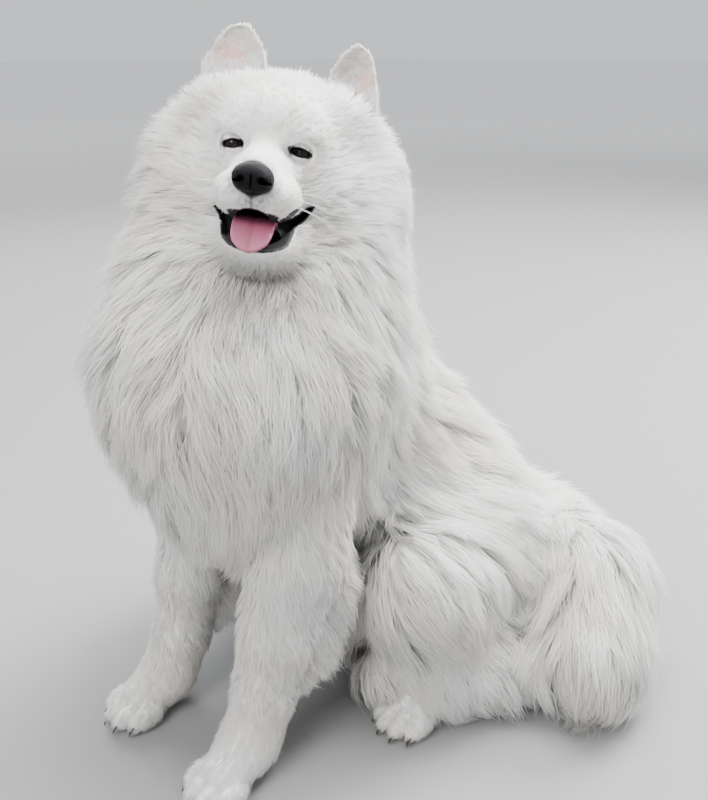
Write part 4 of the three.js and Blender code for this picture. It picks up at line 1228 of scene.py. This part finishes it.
def may_grow(name, points, normals):
    """Which roots stay: those off the floor, the ears, the mouth, the nose, the eyes and the soles."""
    q = to_head(points)
    keep = points[:, 2] > 3
    if name == "head":
        keep &= ~on_ear(q)
    if name in ("head", "muzzle"):
        keep &= (mouth_field(q) > 1.6) & (nose_field(q) > 1.5)
        sideways = (normals @ HEAD_TURN)[:, 1] > -0.25
        keep &= ~(on_lids(q) & ((almond(q) < 1.34) | sideways))
        keep &= bare_trunk(points) > -6
    if name == "paw":
        keep &= (points[:, 2] > 7) | (normals[:, 2] > -0.2)
    return keep


def grow(name, coat, rng):
    points, normals, places = sample((tri_label == name) & on_surface, coat.spacing, rng)
    keep = may_grow(name, points, normals)
    points, normals, places = points[keep], normals[keep], places[keep]
    lengths = coat.length(points) * rng.uniform(0.82, 1.14, len(points))
    overshoot = np.clip(rng.normal(0.2, 1, len(points)), -0.8, 2) * coat.flare
    guide, ups, sides = guides(coat.outer, coat.lie, points - normals * 1.2, lengths, overshoot, rng)
    guide = clumped(guide, ups, coat.clump, coat.closing, coat.flare, rng)
    if name in ("head", "muzzle", "collar"):
        clear = ~over_face(guide, rng)
        guide, ups, sides, points, places = (a[clear] for a in (guide, ups, sides, points, places))
    made = strands(guide, ups, sides, (coat.strands, coat.width * WIDER, coat.spread, coat.stations), rng)
    slot = "short_coat" if coat.stations == 3 else "long_coat"
    shares = pieces_of(name, points)
    for label in np.unique(shares):
        coat_piece("coat_" + label, slot, [part_of(made, points, places, shares == label)])


for index, (name, coat) in enumerate(COATS.items()):
    grow(name, coat, np.random.default_rng(100 + index))


def straight(root, normal, direction, length, lift, steps=4):
    """Middle lines of short tufts that leave the skin and bend over a direction."""
    f = unit(direction - normal * dot(direction, normal) * 0.85)
    path = []
    for t in np.linspace(0, 1, steps):
        path.append(root + f * (length * t)[:, None] + normal * (lift * length * (t - 0.4 * t * t))[:, None])
    side = unit(np.cross(normal, f))
    return np.stack(path, 1), np.repeat(normal[:, None], steps, 1), np.repeat(side[:, None], steps, 1)


def ear_coat():
    """Short fur behind and round the rim, and sparser hairs that fan in over the bare hollow."""
    rng = np.random.default_rng(7)
    points, normals, places = sample((tri_label == "head") & on_ear(to_head(centres)), 2.3, rng)
    q = to_head(points)
    inward = normals @ HEAD_TURN
    for s in SIDES:
        base, across, up, back = ear_axes(s)
        mine = q[:, 0] > 20 if s > 0 else q[:, 0] <= 20
        r, n = q[mine], inward[mine]
        share = (r - base) @ up / (up @ up)
        edge = 2 * ((r - base) @ across) / (across @ across) / np.interp(share, *EAR_PROFILE.T)
        inside = -(n @ back) > 0.25
        aside = edge * np.where(inside, -0.45, 0.08) + 0.12 * rng.normal(size=len(r))
        at_tip = smoothstep(share, 0.6, 1)
        fan = unit(up) * (1.1 - 0.6 * at_tip)[:, None] + unit(across) * aside[:, None]
        at_base = 1 - smoothstep(share, 0.1, 0.5)
        length = np.where(inside, 4.5 + 8 * at_base, 5 + 9 * at_base) * (1.1 - 0.3 * at_tip)
        length = length * rng.uniform(0.8, 1.2, len(r))
        lift = 0.2 + 0.12 * rng.random(len(r))
        guide, ups, sides = straight(r, n, fan, length, lift)
        bare = 0.97 * np.exp(-(edge / 0.58) ** 4) * bell(share - 0.4, 0.33)
        keep = ~inside | (rng.random(len(r)) > bare)
        made = strands(guide[keep], ups[keep], sides[keep], (9, 0.6, (2.1, 1.8), 3), rng)
        made = (from_head(made[0]), made[1], made[2] @ HEAD_TURN.T, *made[3:])
        yield made, points[mine][keep], places[mine][keep]


def feather_coat():
    """Long hair behind the forelegs."""
    for s, name in SIDES.items():
        rng = np.random.default_rng(50 + s)
        points, normals, places = sample((tri_label == "leg_" + name) & on_surface, 8, rng)
        keep = (normals[:, 1] > 0.25) & (points[:, 2] > 70) & (points[:, 2] < 300)
        points, normals, places = points[keep], normals[keep], places[keep]
        lengths = (46 + 34 * smoothstep(points[:, 2], 80, 220)) * rng.uniform(0.8, 1.15, len(points))
        guide, ups, sides = guides(FEATHERED[s], steady(0, 0.5, -1), points - normals, lengths,
                                   rng.normal(0, 4, len(points)), rng)
        yield strands(guide, ups, sides, (22, 1.2, (6.5, 2.8), 4), rng), points, places


coat_piece("coat_ears", "short_coat", ear_coat())
coat_piece("coat_feathers", "long_coat", feather_coat())


# Eyes, nose, tongue, claws and whiskers

def grid_tris(rows, columns, wrap):
    i = np.arange(rows * columns).reshape(rows, columns)
    right = np.roll(i, -1, axis=1) if wrap else i[:, 1:]
    left = i if wrap else i[:, :-1]
    a, b, c, d = left[:-1].ravel(), right[:-1].ravel(), right[1:].ravel(), left[1:].ravel()
    return np.concatenate([np.stack([a, b, c], 1), np.stack([a, c, d], 1)])


def detail(name, verts, tris, material, slot, colour=None):
    """A piece with its mesh in the dog's frame, which may be painted."""
    mesh = new_mesh(name, verts, tris)
    if colour is not None:
        paint(mesh, colour)
    return new_object(name, mesh, material, slot)


PUPIL = np.array([0.004, 0.004, 0.005])
IRIS = np.array([0.013, 0.007, 0.006])
CORNER_FLESH = np.array([0.05, 0.035, 0.032])


def eye(side, mat):
    """An eyeball with a raised cornea, looking ahead. Rings run from the middle of the pupil."""
    around, rings = 64, 56
    theta = np.concatenate([np.linspace(0, 0.9, 40, endpoint=False), np.linspace(0.9, math.pi, rings - 40)])
    phi = circle(around)
    bulge = 0.9 * bell(theta, 0.42)
    r = (EYE_RADIUS - 0.15 + bulge)[:, None]
    ring = r * np.sin(theta)[:, None]
    ahead = -r * np.cos(theta)[:, None] * np.ones(around)
    verts = np.stack([ring * np.cos(phi), ahead, ring * np.sin(phi)], -1).reshape(-1, 3)
    off = np.repeat(np.sin(theta) * EYE_RADIUS, around)
    off = np.where(np.repeat(theta, around) > 1.57, 20, off)
    turned = np.tile(phi, rings)
    streaks = 0.75 + 0.25 * np.sin(turned * 23 + 3 * np.sin(turned * 5))
    colour = mixed(np.tile(PUPIL, (len(verts), 1)), IRIS[None] * streaks[:, None], smoothstep(off, 2.6, 3.3))
    colour = mixed(colour, BLACK * 0.6, smoothstep(off, 6.4, 7.4))
    colour = mixed(colour, CORNER_FLESH, smoothstep(off, 8.4, 9.4))
    name = "eye_" + SIDES[side]
    verts = from_head(verts + EYE_AT * (side, 1, 1))
    ball = detail(name + "_ball", verts, grid_tris(rings, around, True), mat, "eye", colour)
    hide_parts(name)


def eyes():
    mat = Material("eye", 0.08, Specular_IOR_Level=0.24)
    mat.tinted(500, 0.2)
    for s in SIDES:
        eye(s, mat)


def nose():
    verts, tris = polygonise(nose_field, NOSE_AT - (22, 20, 24), NOSE_AT + (22, 26, 20), NOSE_CELL)
    pebbles = 0.12 * ripple(verts, 2.1, 31) + 0.08 * ripple(verts, 1.3, 32)
    verts = verts + gradient(nose_field, verts) * pebbles[:, None]
    mat = Material("nose_leather", 0.4, Specular_IOR_Level=0.12)
    shine = mat.node("TexNoise", Scale=120, Detail=4)
    roughness = mat.node("MapRange", To_Min=0.34, To_Max=0.55)
    mat.link(shine.outputs["Fac"], roughness.inputs["Value"])
    mat.link(roughness.outputs["Result"], mat.shader.inputs["Roughness"])
    cells = mat.node("TexVoronoi", Scale=820).outputs["Distance"]
    mat.shaded(cells, (0.0012, 0.0014, 0.002), (0.0045, 0.005, 0.007))
    mat.grained(cells, 0.5, 0.0004)
    leather = detail("nose_leather", from_head(verts), tris, mat, "nose")
    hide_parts("nose")


# The tongue's sections: y, z, half width and thickness
TONGUE = np.array([
    (-4, -82, 14, 8),
    (-24, -77, 18, 7),
    (-40, -71.5, 20, 6),
    (-52, -70, 20.5, 5.5),
    (-62, -75.5, 20.5, 5),
    (-70, -84, 19.5, 4.5),
    (-75.5, -90.5, 16.5, 4),
    (-79, -95, 10, 3),
    (-80.3, -97, 4, 2),
])
TONGUE_X = 4.5
# Painted shade: the tongue's colour where it lies back inside the mouth
TONGUE_ROOT_SHADE = np.array([0.22, 0.05, 0.09])
TONGUE_PINK = np.array([0.52, 0.15, 0.25])
# Painted shade along the tongue's middle groove
TONGUE_GROOVE_SHADE = np.array([0.40, 0.10, 0.14])


def tongue():
    """Sections from the root to the tip, with a groove along the middle."""
    fine = np.linspace(0, len(TONGUE) - 1, 60)
    columns = [np.interp(fine, np.arange(len(TONGUE)), TONGUE[:, i]) for i in range(4)]
    for _ in range(3):
        for column in columns:
            column[1:-1] = 0.25 * (column[:-2] + column[2:]) + 0.5 * column[1:-1]
    y, z, half, thick = columns
    slope = unit(np.stack([0 * y, np.gradient(y), np.gradient(z)], 1))
    a = circle(40)
    s, h = np.cos(a), np.sin(a)
    lift = np.sign(h) * np.abs(h) ** 0.75
    groove = 0.28 * bell(s, 0.12) * (h > 0)
    rings = []
    for i in range(len(fine)):
        up = np.array([0, slope[i, 2], -slope[i, 1]])
        curl = 0.10 * half[i] / thick[i] * s * s
        level = (lift * (1 - groove) + curl) * thick[i]
        middle = np.array([TONGUE_X, y[i], z[i]])
        rings.append(middle + np.outer(s * half[i] * 0.97, (1, 0, 0)) + np.outer(level, up))
    verts, tris = loft(rings)
    # Painted shade: darker back from the tip into the mouth
    tip = smoothstep(-verts[:, 1], 60, 78)
    colour = mixed(np.tile(TONGUE_ROOT_SHADE, (len(verts), 1)), TONGUE_PINK, 0.25 + 0.75 * tip)
    # Painted shade: darker along the middle groove
    colour = mixed(colour, TONGUE_GROOVE_SHADE, 0.5 * bell(verts[:, 0] - TONGUE_X, 1.6))
    mat = Material("tongue_skin", 0.3, Subsurface_Weight=0.25, Subsurface_Scale=0.004)
    mat.tinted(300, 0.12)
    mat.grained(mat.node("TexVoronoi", Scale=1100).outputs["Distance"], 0.35, 0.0003)
    body = detail("tongue_body", from_head(verts), tris, mat, "tongue", colour)
    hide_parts("tongue")


def joined_lofts(lofts):
    verts, tris, offset = [], [], 0
    for v, t in lofts:
        verts.append(v)
        tris.append(t + offset)
        offset += len(v)
    return np.concatenate(verts), np.concatenate(tris)


def claws():
    """Small blunt dark claws, one for each toe."""
    made = []
    a = circle(12)
    for x, y in FEET.values():
        for spread in TOE_SPREAD:
            front = y - toe_reach(spread)
            root = np.array([x + spread, front + 9, 15])
            tip = np.array([x + 1.04 * spread, front - CLAW_OVERHANG, 4.5])
            rings = []
            for t in np.linspace(0, 1, 9):
                r = 4.2 * math.sqrt(max(1 - t ** 1.8, 0.012))
                bow = 3.4 * math.sin(math.pi * t)
                section = np.stack([0.8 * r * np.cos(a), 0.35 * r * np.sin(a), r * np.sin(a)], 1)
                rings.append(root + (tip - root) * t + (0, 0, bow) + section)
            made.append(loft(rings))
    mat = Material("claw_horn", 0.35)
    stripes = mat.node("TexNoise", Scale=260, Detail=5)
    mat.shaded(stripes.outputs["Fac"], (0.012, 0.011, 0.01), (0.07, 0.058, 0.05))
    detail("claws", *joined_lofts(made), mat, "nose")


def whiskers():
    rng = np.random.default_rng(12)
    made = []
    a = circle(4)
    for s in SIDES:
        for row in range(3):
            for i in range(3 + row % 2):
                start = np.array([MUZZLE_BEND + s * 60, -66 + 8 * i + rng.uniform(-2, 2), -40 - 6 * row])
                steps = start + np.array([-s, 0, 0]) * np.arange(0, 60, 0.5)[:, None]
                inside = bare_head(steps) < -0.5
                root = steps[np.argmax(inside)] if inside.any() else steps[-1]
                out = unit(np.array([s * 1.0, 0.15 + 0.2 * i, 0.12 - 0.16 * row]))
                length = rng.uniform(34, 52)
                rings = []
                for t in np.linspace(0, 1, 8):
                    at = root + out * length * t + np.array([0, 4, -9]) * t * t
                    r = 0.26 * (1 - 0.85 * t)
                    rings.append(at + np.stack([0 * a, r * np.cos(a), r * np.sin(a)], 1))
                made.append(loft(rings))
    verts, tris = joined_lofts(made)
    mat = Material("whisker", 0.4)
    mat.shaded(mat.node("TexNoise", Scale=200).outputs["Fac"], (0.5, 0.49, 0.47), (0.9, 0.89, 0.86))
    detail("whiskers", from_head(verts), tris, mat, "short_coat")


eyes()
nose()
tongue()
claws()
whiskers()

# Camera, floor and lights

CAMERA_AT = (689.46, -569.75, 760)
CAMERA_RIGHT = (0.69966, 0.71447, 0)
CAMERA_UP = (-0.27226, 0.26662, 0.92455)
CAMERA_BACK = (0.66056, -0.64687, 0.38107)
FOCAL_LENGTH = 38.25
SENSOR_WIDTH = 36

camera = bpy.data.objects.new("camera", bpy.data.cameras.new("camera"))
bpy.context.scene.collection.objects.link(camera)
camera.data.lens = FOCAL_LENGTH
camera.data.sensor_width = SENSOR_WIDTH
camera.data.clip_start = 0.01
turned = Matrix((CAMERA_RIGHT, CAMERA_UP, CAMERA_BACK)).transposed().to_4x4()
turned.translation = Vector(to_world(CAMERA_AT))
camera.matrix_world = turned
bpy.context.scene.camera = camera

FLOOR_SIZE = 60.0
FLOOR_GREY = 0.25
FAR_GREY = 0.9


def floor():
    """A wide pale floor that grows lighter far away, so that it meets the background softly."""
    steps = 60
    x = FLOOR_SIZE * np.linspace(-1, 1, steps) ** 3
    verts = np.stack([*np.meshgrid(x, x, indexing="ij"), np.zeros((steps, steps))], -1).reshape(-1, 3)
    mat = Material("floor", 0.75)
    place = mat.node("TexCoord")
    away = mat.node("VectorMath", operation="LENGTH")
    mat.link(place.outputs["Object"], away.inputs[0])
    paler = mat.node("MapRange", interpolation_type="SMOOTHSTEP", From_Min=1.2, From_Max=9,
                     To_Min=FLOOR_GREY, To_Max=FAR_GREY)
    mat.link(away.outputs["Value"], paler.inputs["Value"])
    mat.link(paler.outputs["Result"], mat.shader.inputs["Base Color"])
    mesh = new_mesh("floor", verts, grid_tris(steps, steps, False), world=False)
    ground = new_object("floor", mesh, mat)


floor()

AIM = (0, 0, 0.35)


def light(name, at, power, size, colour=(1, 1, 1)):
    lamp = bpy.data.lights.new(name, "AREA")
    lamp.energy = power
    lamp.shape = "DISK"
    lamp.size = size
    lamp.color = colour
    obj = bpy.data.objects.new(name, lamp)
    bpy.context.scene.collection.objects.link(obj)
    obj.location = at
    obj.rotation_euler = (Vector(AIM) - Vector(at)).to_track_quat("-Z", "Y").to_euler()


light("key", (0.4, -2.6, 2.8), 110, 2.0, colour=(1.0, 0.99, 0.97))
light("top", (0.1, 0.6, 3.2), 240, 2.2)
light("rim", (0.5, 2.6, 2.4), 290, 1.8)
light("side", (-2.4, 0.8, 2.2), 80, 1.6, colour=(0.96, 0.98, 1.0))
world = bpy.data.worlds.new("studio")
world.use_nodes = True
world.node_tree.nodes["Background"].inputs["Color"].default_value = (0.88, 0.90, 0.93, 1)
world.node_tree.nodes["Background"].inputs["Strength"].default_value = 0.95
bpy.context.scene.world = world
